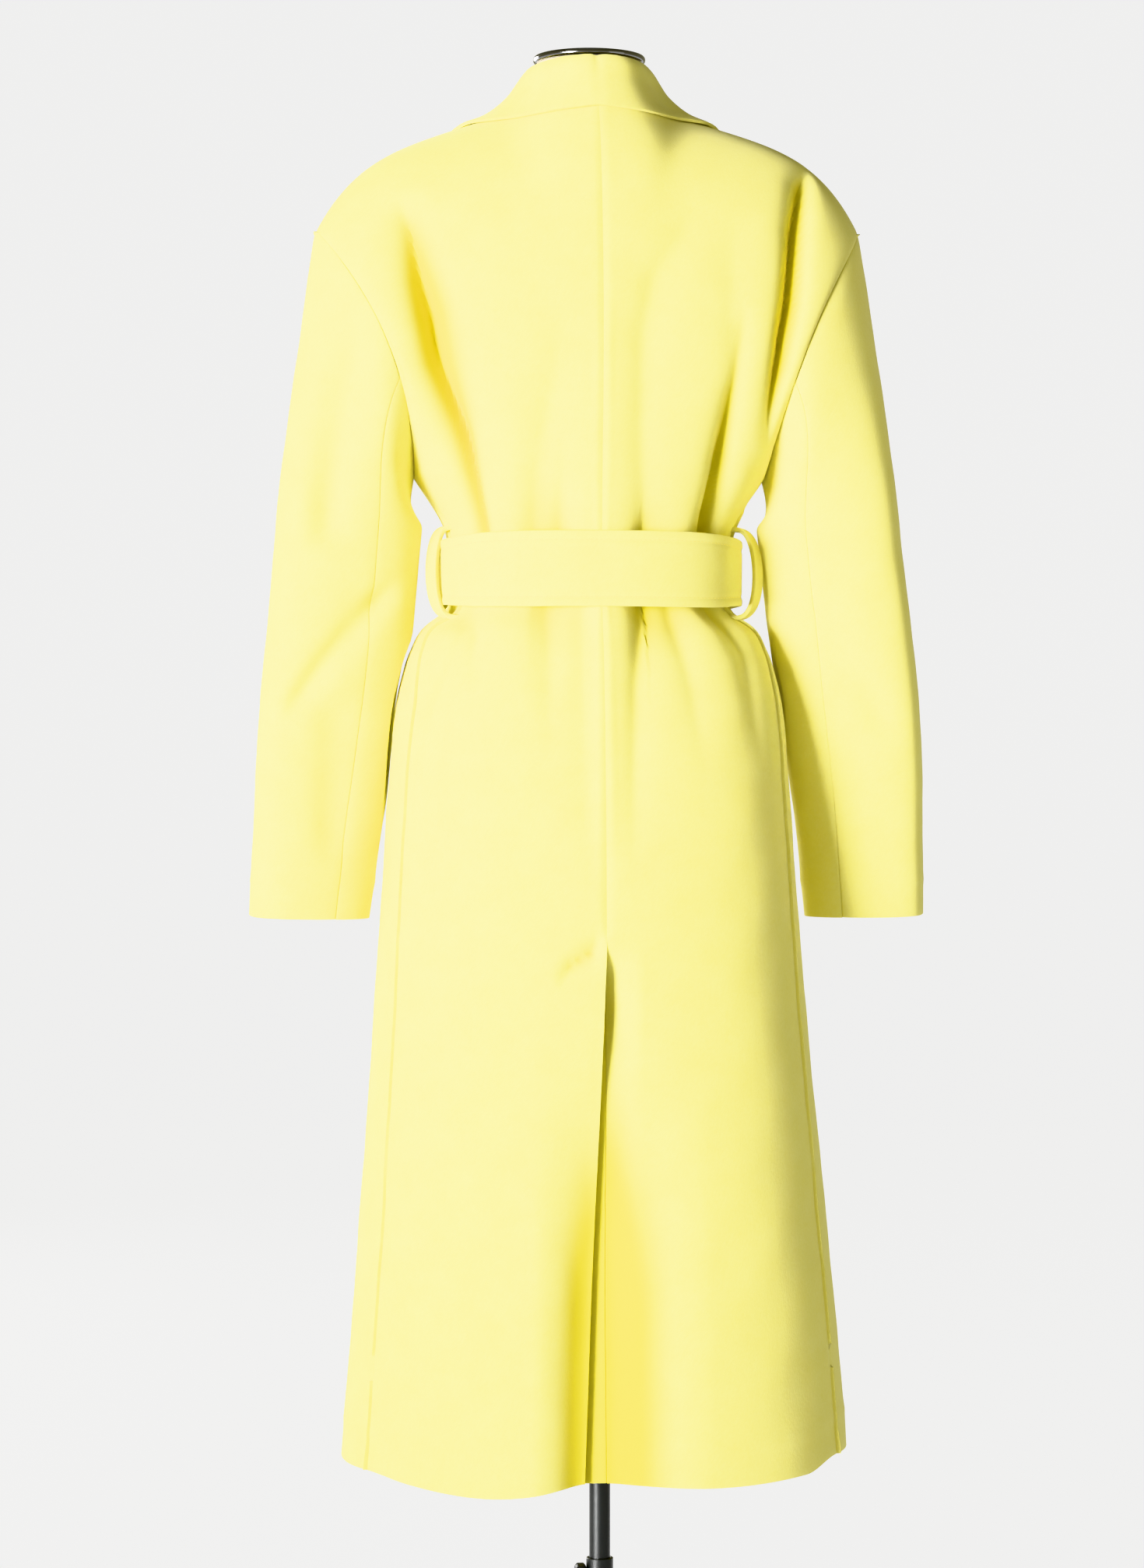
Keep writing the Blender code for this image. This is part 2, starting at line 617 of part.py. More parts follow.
def back_panel(side):
    """Outer points of one back panel, from hem to neck and from centre back to the side."""
    heights = lower_heights()
    lower, spread = back_lower(side, heights)
    points = np.concatenate([lower, back_upper(side, upper_shares())])
    rows, columns = points.shape[:2]
    normal = facing(points, from_axis(points))
    depth = back_fold_depth(side, points) * seam_window(rows, columns)
    below = ramp(0.0, VENT_RAMP, VENT_TOP - points[..., 2])
    if side == RIGHT:
        depth = depth + VENT_RECESS * below * (1 - ramp(0.0, VENT_RECESS_REACH, points[..., 0]))
    else:
        low = ramp(VENT_CURL_TOP - HEM, 0.0, points[..., 2] - HEM)
        depth = depth + VENT_CURL * low * (1 - ramp(0.0, VENT_RECESS_REACH, points[..., 0]))
    moved = points - normal * depth[..., None]
    if side == LEFT:
        nearness = (1 - np.sin(column_angles(side)[0])) ** 3
        moved[: len(heights), :, 0] += spread * nearness[None, :]
    across = np.sin(math.pi * np.sin(column_angles(side)[0]))[None, :]
    sag = HEM_DROP[side] * np.clip(across, 0, None) ** HEM_DROP_POWER
    lift = HEM_LIFT[side] * ramp(HEM_LIFT_START, HEM_LIFT_FULL, points[..., 0])
    moved[..., 2] += (lift - sag) * near_hem(points)
    moved[..., 0] *= side
    return flared(moved)


def front_panel(side):
    """Outer points and column angles of one front, from hem to shoulder and from free edge to side."""
    lower, lower_angle = front_lower(lower_heights())
    upper, upper_angle = front_upper(side, upper_shares())
    points = np.concatenate([lower, upper])
    angle = np.concatenate([lower_angle, upper_angle])
    rows, columns = points.shape[:2]
    normal = facing(points, from_axis(points))
    hold = seam_window(rows, columns)
    depth = front_fold_depth(side, points, angle) * hold
    depth = depth + back_fold_depth(side, points) * hold * ramp(0.0, SIDE_WRAP, points[..., 1])
    if side == LEFT:
        depth = depth + front_fold_depth(RIGHT, points, -angle)
        past_edge = angle + angle[:, :1]
        under = 1 - ramp(WRAP_BLEND_DEG[0], WRAP_BLEND_DEG[1], past_edge)
        chest = ramp(BELT_HEIGHT - BELT_HALF_TALL, BREAK_POINT, points[..., 2])
        inset = UNDER_WRAP_INSET_SKIRT + (UNDER_WRAP_INSET - UNDER_WRAP_INSET_SKIRT) * chest
        depth = depth + inset * under
    lift = HEM_LIFT[side]
    if side == LEFT:
        over = 1 - ramp(*WRAP_HEM_DEG, angle + angle[:, :1])
        lift = lift + (HEM_LIFT[RIGHT] + CLOTH - lift) * over
    moved = points - normal * depth[..., None]
    moved[..., 2] += lift * near_hem(points)
    moved[..., 0] *= side
    return flared(moved)


def sleeve_ring(section, angle):
    """One slanted oval of the left sleeve, leaning a little with the sleeve's axis."""
    heights = np.array([row.height for row in SLEEVE_SECTIONS])
    middles = np.array([(row.x, row.y, row.height) for row in SLEEVE_SECTIONS])
    around = np.array([section.height - AXIS_STEP, section.height + AXIS_STEP])
    around = np.clip(around, heights[-1], heights[0])
    low, high = smooth_curve(heights[::-1], middles[::-1], around)
    axis = (low - high) / np.linalg.norm(low - high) * RING_LEAN
    axis[2] -= 1 - RING_LEAN
    axis /= np.linalg.norm(axis)
    slant = math.radians(section.slant_deg)
    outward = np.array([math.cos(slant), -math.sin(slant), 0.0])
    outward -= axis * outward.dot(axis)
    outward /= np.linalg.norm(outward)
    backward = np.cross(outward, axis)
    backward *= math.copysign(1.0, backward[1])
    middle = np.array([section.x, section.y, section.height])
    return (
        middle
        + np.cos(angle)[:, None] * outward * section.half_width
        + np.sin(angle)[:, None] * backward * section.half_depth
    )


def sleeve_section_at(height):
    """The sleeve section at a height between table rows."""
    table = np.array(SLEEVE_SECTIONS)[::-1]
    return SleeveSection(*smooth_curve(table[:, 0], table, np.array([height]))[0])


def sleeve_base(side, angle):
    """Rings of a sleeve, unmirrored, from the armhole down to the cuff."""
    start = armhole(side, angle)
    ways = (HEAD_TOP_WAY, HEAD_BACK_WAY, HEAD_UNDER_WAY, HEAD_FRONT_WAY)
    start_way = loop_through(*ways, angle) * HEAD_PULL
    first = SLEEVE_SECTIONS[0].height
    last = SLEEVE_SECTIONS[-1].height
    end = sleeve_ring(sleeve_section_at(first), angle)
    below = sleeve_ring(sleeve_section_at(first - 2 * AXIS_STEP), angle)
    reach = np.linalg.norm(end - start, axis=1, keepdims=True)
    end_way = unit(below - end) * reach * HEAD_ARRIVE
    rings = []
    for share in np.linspace(0.0, 1.0, SLEEVE_HEAD_RINGS, endpoint=False):
        rise = share * share * (3 - 2 * share)
        leave = share * (1 - share) ** 2
        arrive = share * share * (share - 1)
        rings.append(start * (1 - rise) + end * rise + start_way * leave + end_way * arrive)
    for height in np.linspace(first, last, SLEEVE_RINGS):
        rings.append(sleeve_ring(sleeve_section_at(height), angle))
    return np.array(rings)


def sleeve_points(side, angle):
    """Outer points of one sleeve with its troughs, kept just clear of the body."""
    points = sleeve_base(side, angle)
    middle = points.mean(axis=1, keepdims=True)
    normal = facing(points, points - middle)
    degrees = np.degrees(angle)[None, :]
    z = points[..., 2]
    depth = np.zeros_like(z)
    for fold in SLEEVE_FOLDS:
        if fold.side != side:
            continue
        share, window = fold_share(fold.top, fold.bottom, z)
        path = fold.deg_top + (fold.deg_bottom - fold.deg_top) * share
        depth += fold.depth * window * np.exp(-(((degrees - path) / fold.width_deg) ** 2))
    points = points - normal * depth[..., None]
    points[..., 0] += SLEEVE_SWING[side] * ramp(0.0, SLEEVE_SWING_REACH, SLEEVE_SWING_TOP - z)
    points = clear_of_body(points)
    points[..., 0] *= side
    return points


def clear_of_body(points):
    """Points of the left sleeve pressed outward wherever they would come too near the body."""
    z = np.minimum(points[..., 2], UNDERARM)
    section = section_at(z.ravel())
    half = (section.half_width + SLEEVE_BODY_GAP).reshape(z.shape)
    back = (section.back + SLEEVE_BODY_GAP).reshape(z.shape)
    front = (section.front + SLEEVE_BODY_GAP).reshape(z.shape)
    power = section.squareness.reshape(z.shape)
    depth = np.where(points[..., 1] >= 0, back, front)
    need = half * np.clip(1 - np.abs(points[..., 1] / depth) ** power, 0, None) ** (1 / power)
    hanging = ramp(0.0, UNDERARM_EASE, UNDERARM - points[..., 2])
    push = np.clip(need - points[..., 0], 0, None) * hanging
    moved = points.copy()
    moved[..., 0] += push
    return moved


def trimmed(points, gap=SEAM_GAP):
    """A grid drawn in by half the seam gap along all four edges."""
    cut = points.copy()
    for axis in (0, 1):
        grid = np.moveaxis(cut, axis, 0)
        for edge, inner in ((0, 1), (-1, -2)):
            way = grid[inner] - grid[edge]
            grid[edge] += way / np.linalg.norm(way, axis=-1, keepdims=True) * gap / 2
    return cut


def mitre(first, second):
    """Offset directions shared by two panels along a seam that turns outward; others stay."""
    agree = np.sum(first * second, axis=-1, keepdims=True)
    shared = (first + second) / (1 + np.clip(agree, MITRE_LIMIT, None))
    turned = agree > MITRE_LIMIT
    return np.where(turned, shared, first), np.where(turned, shared, second)


def new_material(finish):
    """The Principled material of a finish, made once."""
    material = bpy.data.materials.get(finish.name)
    if material is None:
        material = bpy.data.materials.new(finish.name)
        material.use_nodes = True
        shader = material.node_tree.nodes["Principled BSDF"]
        shader.inputs["Base Color"].default_value = finish.colour
        shader.inputs["Roughness"].default_value = finish.roughness
        shader.inputs["Metallic"].default_value = finish.metallic
    return material


def new_object(name, mesh_builder, finish, parent=None):
    """A named object holding a finished bmesh."""
    mesh = bpy.data.meshes.new(name)
    bmesh.ops.recalc_face_normals(mesh_builder, faces=mesh_builder.faces[:])
    if mesh_builder.calc_volume(signed=True) < 0:
        bmesh.ops.reverse_faces(mesh_builder, faces=mesh_builder.faces[:])
    mesh_builder.to_mesh(mesh)
    mesh_builder.free()
    mesh.materials.append(new_material(finish))
    made = bpy.data.objects.new(name, mesh)
    PART_COLLECTION.objects.link(made)
    made.parent = parent
    return made


def wall(name, points, normals, finish, parent, thickness=CLOTH):
    """A cloth wall: a grid laid on the points, then a copy of it drawn in along the normals."""
    rows, columns = points.shape[:2]
    outer = trimmed(points).reshape(-1, 3)
    inner = outer - normals.reshape(-1, 3) * thickness
    builder = bmesh.new()
    bmesh.ops.create_grid(builder, x_segments=columns - 1, y_segments=rows - 1, size=0.5)
    places = {}
    for vert in builder.verts:
        column = round((vert.co.x + 0.5) * (columns - 1))
        row = round((vert.co.y + 0.5) * (rows - 1))
        places[vert.co.to_tuple(5)] = row * columns + column
    drawn = bmesh.ops.extrude_face_region(builder, geom=builder.faces[:])["geom"]
    copies = {vert for vert in drawn if isinstance(vert, bmesh.types.BMVert)}
    placed = {}
    for vert in builder.verts:
        placed[vert] = places[vert.co.to_tuple(5)]
    for vert, place in placed.items():
        vert.co = inner[place] if vert in copies else outer[place]
    split_rim(builder, placed, copies)
    return new_object(name, builder, finish, parent)


def split_rim(builder, placed, copies):
    """Cut each rim face from its low outer to its high inner corner, so that facing rims match."""
    for face in builder.faces[:]:
        outer = [vert for vert in face.verts if vert not in copies]
        if len(outer) != 2:
            continue
        low, high = sorted(outer, key=lambda vert: vert.co.z)
        across = next(vert for vert in face.verts if vert in copies and placed[vert] == placed[high])
        bmesh.utils.face_split(face, low, across)


def turned(name, profile, finish, parent=None, steps=TURN_STEPS):
    """A solid turned about Z from a profile of (radius, height) points that starts and ends on the axis."""
    builder = bmesh.new()
    verts = [builder.verts.new((radius, 0.0, height)) for radius, height in profile]
    edges = [builder.edges.new(pair) for pair in zip(verts, verts[1:])]
    bmesh.ops.spin(
        builder,
        geom=verts + edges,
        axis=(0.0, 0.0, 1.0),
        cent=(0.0, 0.0, 0.0),
        steps=steps,
        angle=2 * math.pi,
        use_merge=True,
    )
    bmesh.ops.remove_doubles(builder, verts=builder.verts[:], dist=AXIS_MERGE)
    return new_object(name, builder, finish, parent)


def build_body(parent):
    """Back panels, fronts, vent underlap and sleeves, joined along shared seams."""
    angles = np.linspace(0.0, 2 * math.pi, 2 * ARMHOLE_ROWS + 1)
    first_upper = len(lower_heights())
    outer = {}
    normal = {}
    for side in (LEFT, RIGHT):
        name = SIDE_NAMES[side]
        outer["back_" + name] = back_panel(side)
        outer["front_" + name] = front_panel(side)
        outer["front_" + name][:first_upper, -1] = outer["back_" + name][:first_upper, -1]
        for part in ("back_", "front_"):
            points = outer[part + name]
            normal[part + name] = facing(points, from_axis(points))
        sleeve = sleeve_points(side, angles)
        sleeve[:, -1] = sleeve[:, 0]
        around = np.concatenate([sleeve[:, -3:-1], sleeve, sleeve[:, 1:3]], axis=1)
        ring_normal = facing(around, around - sleeve.mean(axis=1, keepdims=True))[:, 2:-2]
        back = normal["back_" + name]
        front = normal["front_" + name]
        for step in range(2 * ARMHOLE_ROWS + 1):
            if step <= ARMHOLE_ROWS:
                panel, row = back, first_upper + ARMHOLE_ROWS - step
            else:
                panel, row = front, first_upper + step - ARMHOLE_ROWS
            panel[row, -1], ring_normal[0, step] = mitre(panel[row, -1], ring_normal[0, step])
        front[-1, -1] = back[-1, -1]
        ring_normal[0, -1] = ring_normal[0, 0]
        for row in range(first_upper + 1):
            back[row, -1], front[row, -1] = mitre(back[row, -1], front[row, -1])
        seam = slice(NECK_COLUMNS, NECK_COLUMNS + SHOULDER_COLUMNS)
        back[-1, seam], front[-1, :-1] = mitre(back[-1, seam], front[-1, :-1])
        outer["sleeve_" + name] = sleeve
        normal["sleeve_" + name] = ring_normal
    left = normal["back_left"]
    right = normal["back_right"]
    left[:, 0], right[:, 0] = mitre(left[:, 0], right[:, 0])
    step_deg = 180 / ARMHOLE_ROWS
    hind = round(HIND_SEAM_DEG / step_deg)
    fore = round(FORE_SEAM_DEG / step_deg)
    for side in (LEFT, RIGHT):
        name = SIDE_NAMES[side]
        for part in ("back_", "front_"):
            wall(part + name, outer[part + name], normal[part + name], WOOL, parent)
        ring = outer["sleeve_" + name]
        ring_normal = normal["sleeve_" + name]
        top = list(range(fore, 2 * ARMHOLE_ROWS)) + list(range(0, hind + 1))
        wall("sleeve_top_" + name, ring[:, top], ring_normal[:, top], WOOL, parent)
        under = slice(hind, fore + 1)
        wall("sleeve_under_" + name, ring[:, under], ring_normal[:, under], WOOL, parent)
    return outer, normal


def build_underlap(parent, outer, normal):
    """The vent's underlap, carried on from the right back's free edge under the left back."""
    edge = outer["back_right"][:, 0]
    way = normal["back_right"][:, 0]
    keep = edge[:, 2] < UNDERLAP_TOP
    rows = np.concatenate([edge[keep], [edge[keep][-1]]])
    rows[-1, 1:] = (np.interp(UNDERLAP_TOP, edge[:, 2], edge[:, 1]), UNDERLAP_TOP)
    ways = np.concatenate([way[keep], [way[keep][-1]]])
    across = np.linspace(0.0, UNDERLAP_WIDTH, 4)
    points = np.repeat(rows[:, None, :], len(across), axis=1)
    points[..., 0] += across[None, :]
    section = section_at(rows[:, 2])
    power = section.squareness[:, None]
    sag = section.back[:, None] * (across[None, :] / section.half_width[:, None]) ** power
    points[..., 1] -= sag / power
    normals = np.repeat(ways[:, None, :], len(across), axis=1)
    wall("vent_underlap", points, normals, WOOL, parent)


def row_reader(points, shares):
    """Points along each grid row at shares of its column count, one share array per row."""
    columns = np.arange(points.shape[1]) / (points.shape[1] - 1)
    read = np.empty((points.shape[0], shares.shape[1], 3))
    for row in range(points.shape[0]):
        for part in range(3):
            read[row, :, part] = np.interp(shares[row], columns, points[row, :, part])
    return read


def unit(vectors):
    """Vectors scaled to length one."""
    return vectors / np.linalg.norm(vectors, axis=-1, keepdims=True)


def build_lapels(parent, outer, normal):
    """Lapels made from the fronts' own points, moved out past the cloth."""
    first_upper = len(lower_heights())
    start = first_upper - ROW_ZONES[-1].rows
    stop = first_upper + int(LAPEL_TOP_V * ARMHOLE_ROWS)
    rows = np.arange(start, stop + 1)
    run = (rows - start) / (stop - start)
    reach = LAPEL_TIP + (LAPEL_REACH - LAPEL_TIP) * run ** LAPEL_POWER
    shares = reach[:, None] * np.linspace(0.0, 1.0, LAPEL_COLUMNS + 1)[None, :]
    for side in (LEFT, RIGHT):
        name = SIDE_NAMES[side]
        base = row_reader(outer["front_" + name][rows], shares)
        ways = unit(row_reader(normal["front_" + name][rows], shares))
        wall("lapel_" + name, base + ways * (LYING_GAP + CLOTH), ways, WOOL, parent)


def collar_half(side, outer, normal):
    """One half of the collar, nape to front end: neckline, roll, bulge, and what lies under the fall."""
    name = SIDE_NAMES[side]
    shares = np.linspace(0.0, 1.0, COLLAR_COLUMNS + 1)
    table = np.array(COLLAR_STATIONS)
    station = CollarStation(*smooth_curve(table[:, 0], table, shares).T)
    neck_row = len(lower_heights()) + ARMHOLE_ROWS
    seam_x = SHOULDER_POINTS[side].x * np.sin(column_angles(side)[1])
    shoulder_column = np.interp(COLLAR_EDGE_SHOULDER_X, seam_x, np.arange(SHOULDER_COLUMNS + 1))
    edge_shoulder = float(shoulder_height(side, COLLAR_EDGE_SHOULDER_X))
    upper_rows = np.arange(neck_row - ARMHOLE_ROWS // 2, neck_row + 1)
    base = np.empty((len(shares), 3))
    lying = np.empty((len(shares), len(FALL_SHARES), 3))
    ways = np.empty_like(lying)
    for index, share in enumerate(shares):
        if share <= COLLAR_SHOULDER_SHARE:
            panel = "back_" + name
            run = share / COLLAR_SHOULDER_SHARE
            foot = np.array([neck_row, run * NECK_COLUMNS])
            edge_z = edge_shoulder + (COLLAR_EDGE_NAPE - edge_shoulder) * (1 - run) ** 2
            edge_column = run * (NECK_COLUMNS + shoulder_column)
            column_z = [grid_at(outer[panel], row, edge_column)[2] for row in upper_rows]
            edge = np.array([np.interp(edge_z, column_z, upper_rows), edge_column])
        else:
            panel = "front_" + name
            run = (share - COLLAR_SHOULDER_SHARE) / (1 - COLLAR_SHOULDER_SHARE)
            row = neck_row - ARMHOLE_ROWS * (1 - COLLAR_FRONT_V) * run
            foot = np.array([row, 0.0])
            front_column = COLLAR_FRONT_REACH * SHOULDER_COLUMNS
            edge = np.array([row, shoulder_column * (1 - run) + front_column * run])
        base[index] = grid_at(outer[panel], *foot)
        for step, fall in enumerate(FALL_SHARES):
            place = foot + (edge - foot) * fall
            lying[index, step] = grid_at(outer[panel], *place)
            ways[index, step] = unit(grid_at(normal[panel], *place))
    away = unit(from_axis(base))
    up = np.array([0.0, 0.0, 1.0])
    roll = base + up * station.rise[:, None] - away * station.lean[:, None]
    return base, roll, station.bulge[:, None], lying, ways


def grid_at(points, row, column):
    """A point of a grid between its rows and columns."""
    low_row = int(min(row, points.shape[0] - 2))
    low_column = int(min(column, points.shape[1] - 2))
    down = row - low_row
    along = column - low_column
    near = points[low_row, low_column] * (1 - along) + points[low_row, low_column + 1] * along
    far = points[low_row + 1, low_column] * (1 - along) + points[low_row + 1, low_column + 1] * along
    return near * (1 - down) + far * down


def build_collar(parent, outer, normal):
    """Collar as one wall: up the stand, over the roll and down the fall, which rests on the panels."""
    halves = [collar_half(side, outer, normal) for side in (LEFT, RIGHT)]
    joined = [np.concatenate([right[:0:-1], left]) for left, right in zip(*halves)]
    base, roll, bulge, lying, ways = joined
    up = np.array([0.0, 0.0, 1.0])
    away = unit(from_axis(base))
    stand_foot = base + up * STAND_LIFT
    stand_top = roll - up * COLLAR_ROLL_RADIUS
    stand_middle = (stand_foot + stand_top) / 2
    crest = roll + away * COLLAR_ROLL_RADIUS
    fall_top = stand_top + away * 2 * COLLAR_ROLL_RADIUS
    edge = lying[:, -1] + ways[:, -1] * (CLOTH + COLLAR_LIFT)
    path = [stand_foot, stand_middle, stand_top, crest, fall_top]
    for step, fall in enumerate(FALL_SHARES):
        point = fall_top + (edge - fall_top) * fall + (away + up) * bulge * math.sin(math.pi * fall)
        height = np.sum((point - lying[:, step]) * ways[:, step], axis=1, keepdims=True)
        point = point + ways[:, step] * np.clip(CLOTH + COLLAR_LIFT - height, 0, None)
        path.append(point)
    path = np.stack(path, axis=1)
    normals = grid_normals(path)
    if np.sum(normals[:, 3] * up) < 0:
        normals = -normals
    wall("collar", path, normals, WOOL, parent)


def belt_point(angle, height, lift):
    """Points of the belt's inner face, moved out: angle from the middle of the back, towards the left."""
    swing = np.sin(angle)
    turn = np.cos(angle)
    depth = np.where(turn >= 0, BELT_BACK, BELT_FRONT) + lift
    x = (BELT_HALF_WIDTH + lift) * signed_power(swing, 2 / BELT_SQUARENESS)
    y = depth * signed_power(turn, 2 / BELT_SQUARENESS)
    return np.stack(np.broadcast_arrays(x, y, height), axis=-1)


def build_belt(parent):
    """Belt band with its ends meeting behind the knot, the knot, and the two hanging ends."""
    gap = math.radians(BELT_GAP_DEG)
    angle = np.linspace(-math.pi + gap, math.pi - gap, BELT_COLUMNS + 1)
    side_share = np.abs(np.sin(angle)) ** BELT_SIDE_POWER
    tall = BELT_HALF_TALL + (BELT_HALF_TALL_SIDE - BELT_HALF_TALL) * side_share
    level = np.linspace(-1.0, 1.0, BELT_ROWS + 1)
    height = BELT_HEIGHT + level[:, None] * tall[None, :]
    points = belt_point(np.broadcast_to(angle, height.shape), height, BELT_CLOTH)
    wall("belt", points, facing(points, from_axis(points)), WOOL, parent, BELT_CLOTH)
    build_knot(parent)
    for end in BELT_ENDS:
        build_belt_end(parent, end)


def build_knot(parent):
    """The knot: a rounded wad with a slanting crease, pressed against the front of the belt."""
    builder = bmesh.new()
    bmesh.ops.create_uvsphere(builder, u_segments=KNOT_SEGMENTS, v_segments=KNOT_RINGS, radius=1.0)
    middle_y = -(BELT_FRONT + BELT_CLOTH + SEAM_GAP + KNOT_SIZE.y / 2)
    for vert in builder.verts:
        shape = [signed_power(part, 2 / KNOT_SQUARENESS) for part in vert.co]
        from_crease = shape[0] * KNOT_CREASE.x + shape[2] * KNOT_CREASE.z
        pinch = 1 - KNOT_PINCH * math.exp(-((from_crease / KNOT_CREASE_WIDTH) ** 2))
        vert.co.x = KNOT_MIDDLE_X + shape[0] * KNOT_SIZE.x / 2
        vert.co.y = middle_y + shape[1] * KNOT_SIZE.y / 2 * (pinch if shape[1] < 0 else 1)
        vert.co.z = BELT_HEIGHT + shape[2] * KNOT_SIZE.z / 2 * pinch
    new_object("belt_knot", builder, WOOL, parent)


def build_belt_end(parent, end):
    """One hanging end, laid on the front's form below the knot."""
    top = BELT_HEIGHT - KNOT_SIZE.z / 2 - SEAM_GAP + end.rise
    heights = np.linspace(top - end.length, top, BELT_END_ROWS + 1)
    section = section_at(heights)
    across = np.linspace(-0.5, 0.5, 4) * end.width
    share = (top - heights) / end.length
    x = end.x_top + (end.x_bottom - end.x_top) * share[:, None] + across[None, :]
    power = section.squareness[:, None]
    drop = (1 - np.abs(x / section.half_width[:, None]) ** power) ** (1 / power)
    y = -(section.front[:, None] * drop + end.lift + BELT_CLOTH)
    z = np.broadcast_to(heights[:, None], x.shape)
    points = np.stack([x, y, z], axis=-1)
    normals = facing(points, from_axis(points))
    wall("belt_end_" + SIDE_NAMES[end.side], points, normals, WOOL, parent, BELT_CLOTH)


def build_loops(parent, outer, normal):
    """Belt loops: flat strips from the side seams' own points, bowed out round the belt."""
    turn = np.linspace(-math.pi / 2, math.pi / 2, LOOP_STEPS + 1)
    heights = BELT_HEIGHT + LOOP_HALF_TALL * np.sin(turn)
    bowed = np.sqrt(np.clip(np.cos(turn), 0, None))[:, None]
    across = np.linspace(-0.5, 0.5, LOOP_COLUMNS + 1)[None, :] * LOOP_WIDTH
    face_turn = math.radians(LOOP_TURN_DEG) * bowed
    for side in (LEFT, RIGHT):
        name = SIDE_NAMES[side]
        seam = outer["back_" + name][: len(lower_heights()), -1]
        way = normal["back_" + name][: len(lower_heights()), -1]
        foot = seam + way * (LOOP_CLOTH + LOOP_GAP)
        ends = np.array([heights[0], heights[-1]])
        foot_x = np.interp(ends, foot[:, 2], side * foot[:, 0])
        foot_y = np.interp(ends, foot[:, 2], foot[:, 1])
        run = ((heights - ends[0]) / (ends[1] - ends[0]))[:, None]
        rest_x = foot_x[0] + (foot_x[1] - foot_x[0]) * run
        outer_x = BELT_HALF_WIDTH + BELT_CLOTH + LOOP_STANDS_OFF[side] + LOOP_CLOTH
        points = np.empty((len(turn), LOOP_COLUMNS + 1, 3))
        points[..., 0] = rest_x + (outer_x - rest_x) * bowed - across * np.sin(face_turn)
        points[..., 1] = foot_y[0] + (foot_y[1] - foot_y[0]) * run + across * np.cos(face_turn)
        points[..., 2] = heights[:, None]
        points[..., 0] *= side
        normals = facing(points, from_axis(points))
        wall("belt_loop_" + name, points, normals, WOOL, parent, LOOP_CLOTH)


def form_sections():
    """All sections of the dress form from its seat to the neck; the shoulders follow the coat's seam."""
    rows = list(FORM_SECTIONS)
    for share in FORM_SHOULDER_SHARES:
        x = NECK_HALF_WIDTH + (SHOULDER_POINTS[RIGHT].x - NECK_HALF_WIDTH) * share
        height = min(float(shoulder_height(side, x)) for side in (LEFT, RIGHT)) - FORM_UNDER_COAT
        rows.append(FormSection(height, x, *FORM_SHOULDER_DEPTHS, FORM_SHOULDER_SQUARENESS))
    return rows + list(NECK_SECTIONS)


def build_form(parent):
    """Torso from a sphere whose rings are laid on the form's sections, and the neck cap."""
    rows = form_sections()
    builder = bmesh.new()
    bmesh.ops.create_uvsphere(builder, u_segments=FORM_COLUMNS, v_segments=len(rows) + 1, radius=1.0)
    for vert in builder.verts:
        polar = math.acos(max(-1.0, min(1.0, vert.co.z)))
        ring = len(rows) + 1 - round(polar / math.pi * (len(rows) + 1))
        if ring in (0, len(rows) + 1):
            vert.co = (0.0, 0.0, rows[0].height if ring == 0 else rows[-1].height)
            continue
        row = rows[ring - 1]
        angle = math.atan2(vert.co.y, vert.co.x)
        depth = row.back if math.sin(angle) >= 0 else row.front
        vert.co.x = row.half_width * signed_power(math.cos(angle), 2 / row.squareness)
        vert.co.y = depth * signed_power(math.sin(angle), 2 / row.squareness)
        vert.co.z = row.height
    new_object("form_torso", builder, LINEN, parent)
    low = rows[-1].height + CAP_GAP
    high = low + CAP_TALL
    middle = (low + high) / 2
    turns = np.linspace(-math.pi / 2, math.pi / 2, CAP_RIM_STEPS)
    radii = CAP_RADIUS - CAP_ROUND + CAP_ROUND * np.cos(turns)
    levels = middle + CAP_TALL / 2 * np.sin(turns)
    rim = list(zip(radii, levels))
    turned("neck_cap", [(0.0, low)] + rim + [(0.0, high + CAP_DOME)], CHROME, parent)


def build_stand():
    """Flange, pole, outer tube with the clamp screw's hole, knob and round base, all on the Z axis."""
    seat = FORM_SECTIONS[0].height - SEAM_GAP
    hub = seat - FLANGE_TALL
    turned(
        "form_flange",
        [
            (0.0, hub),
            (POLE_RADIUS + SCREW_CLEAR, hub),
            (POLE_RADIUS + SCREW_CLEAR, hub - FLANGE_HUB_TALL),
            (FLANGE_HUB_RADIUS, hub - FLANGE_HUB_TALL),
            (FLANGE_HUB_RADIUS, hub),
            (FLANGE_RADIUS, hub),
            (FLANGE_RADIUS, seat),
            (0.0, seat),
        ],
        BLACK_METAL,
    )
    top = hub - SEAM_GAP
    outline = [(0.0, POLE_FOOT), (POLE_RADIUS, POLE_FOOT), (POLE_RADIUS, top), (0.0, top)]
    turned("pole", outline, BLACK_METAL)
    build_tube()
    build_knob()
    turned(
        "base",
        [
            (0.0, 0.0),
            (BASE_RADIUS - BASE_CHAMFER, 0.0),
            (BASE_RADIUS, BASE_CHAMFER),
            (BASE_RADIUS, BASE_EDGE),
            (BASE_RADIUS - 3 * BASE_CHAMFER, BASE_EDGE + 2 * BASE_CHAMFER),
            (BASE_HUB_RADIUS + 5 * BASE_CHAMFER, BASE_TALL),
            (BASE_HUB_RADIUS, BASE_TALL + 4 * BASE_CHAMFER),
            (BASE_HUB_RADIUS - 3 * BASE_CHAMFER, BASE_HUB_TOP),
            (TUBE_RADIUS + SEAM_GAP, BASE_HUB_TOP),
            (TUBE_RADIUS + SEAM_GAP, TUBE_FOOT - SEAM_GAP),
            (0.0, TUBE_FOOT - SEAM_GAP),
        ],
        BLACK_METAL,
    )


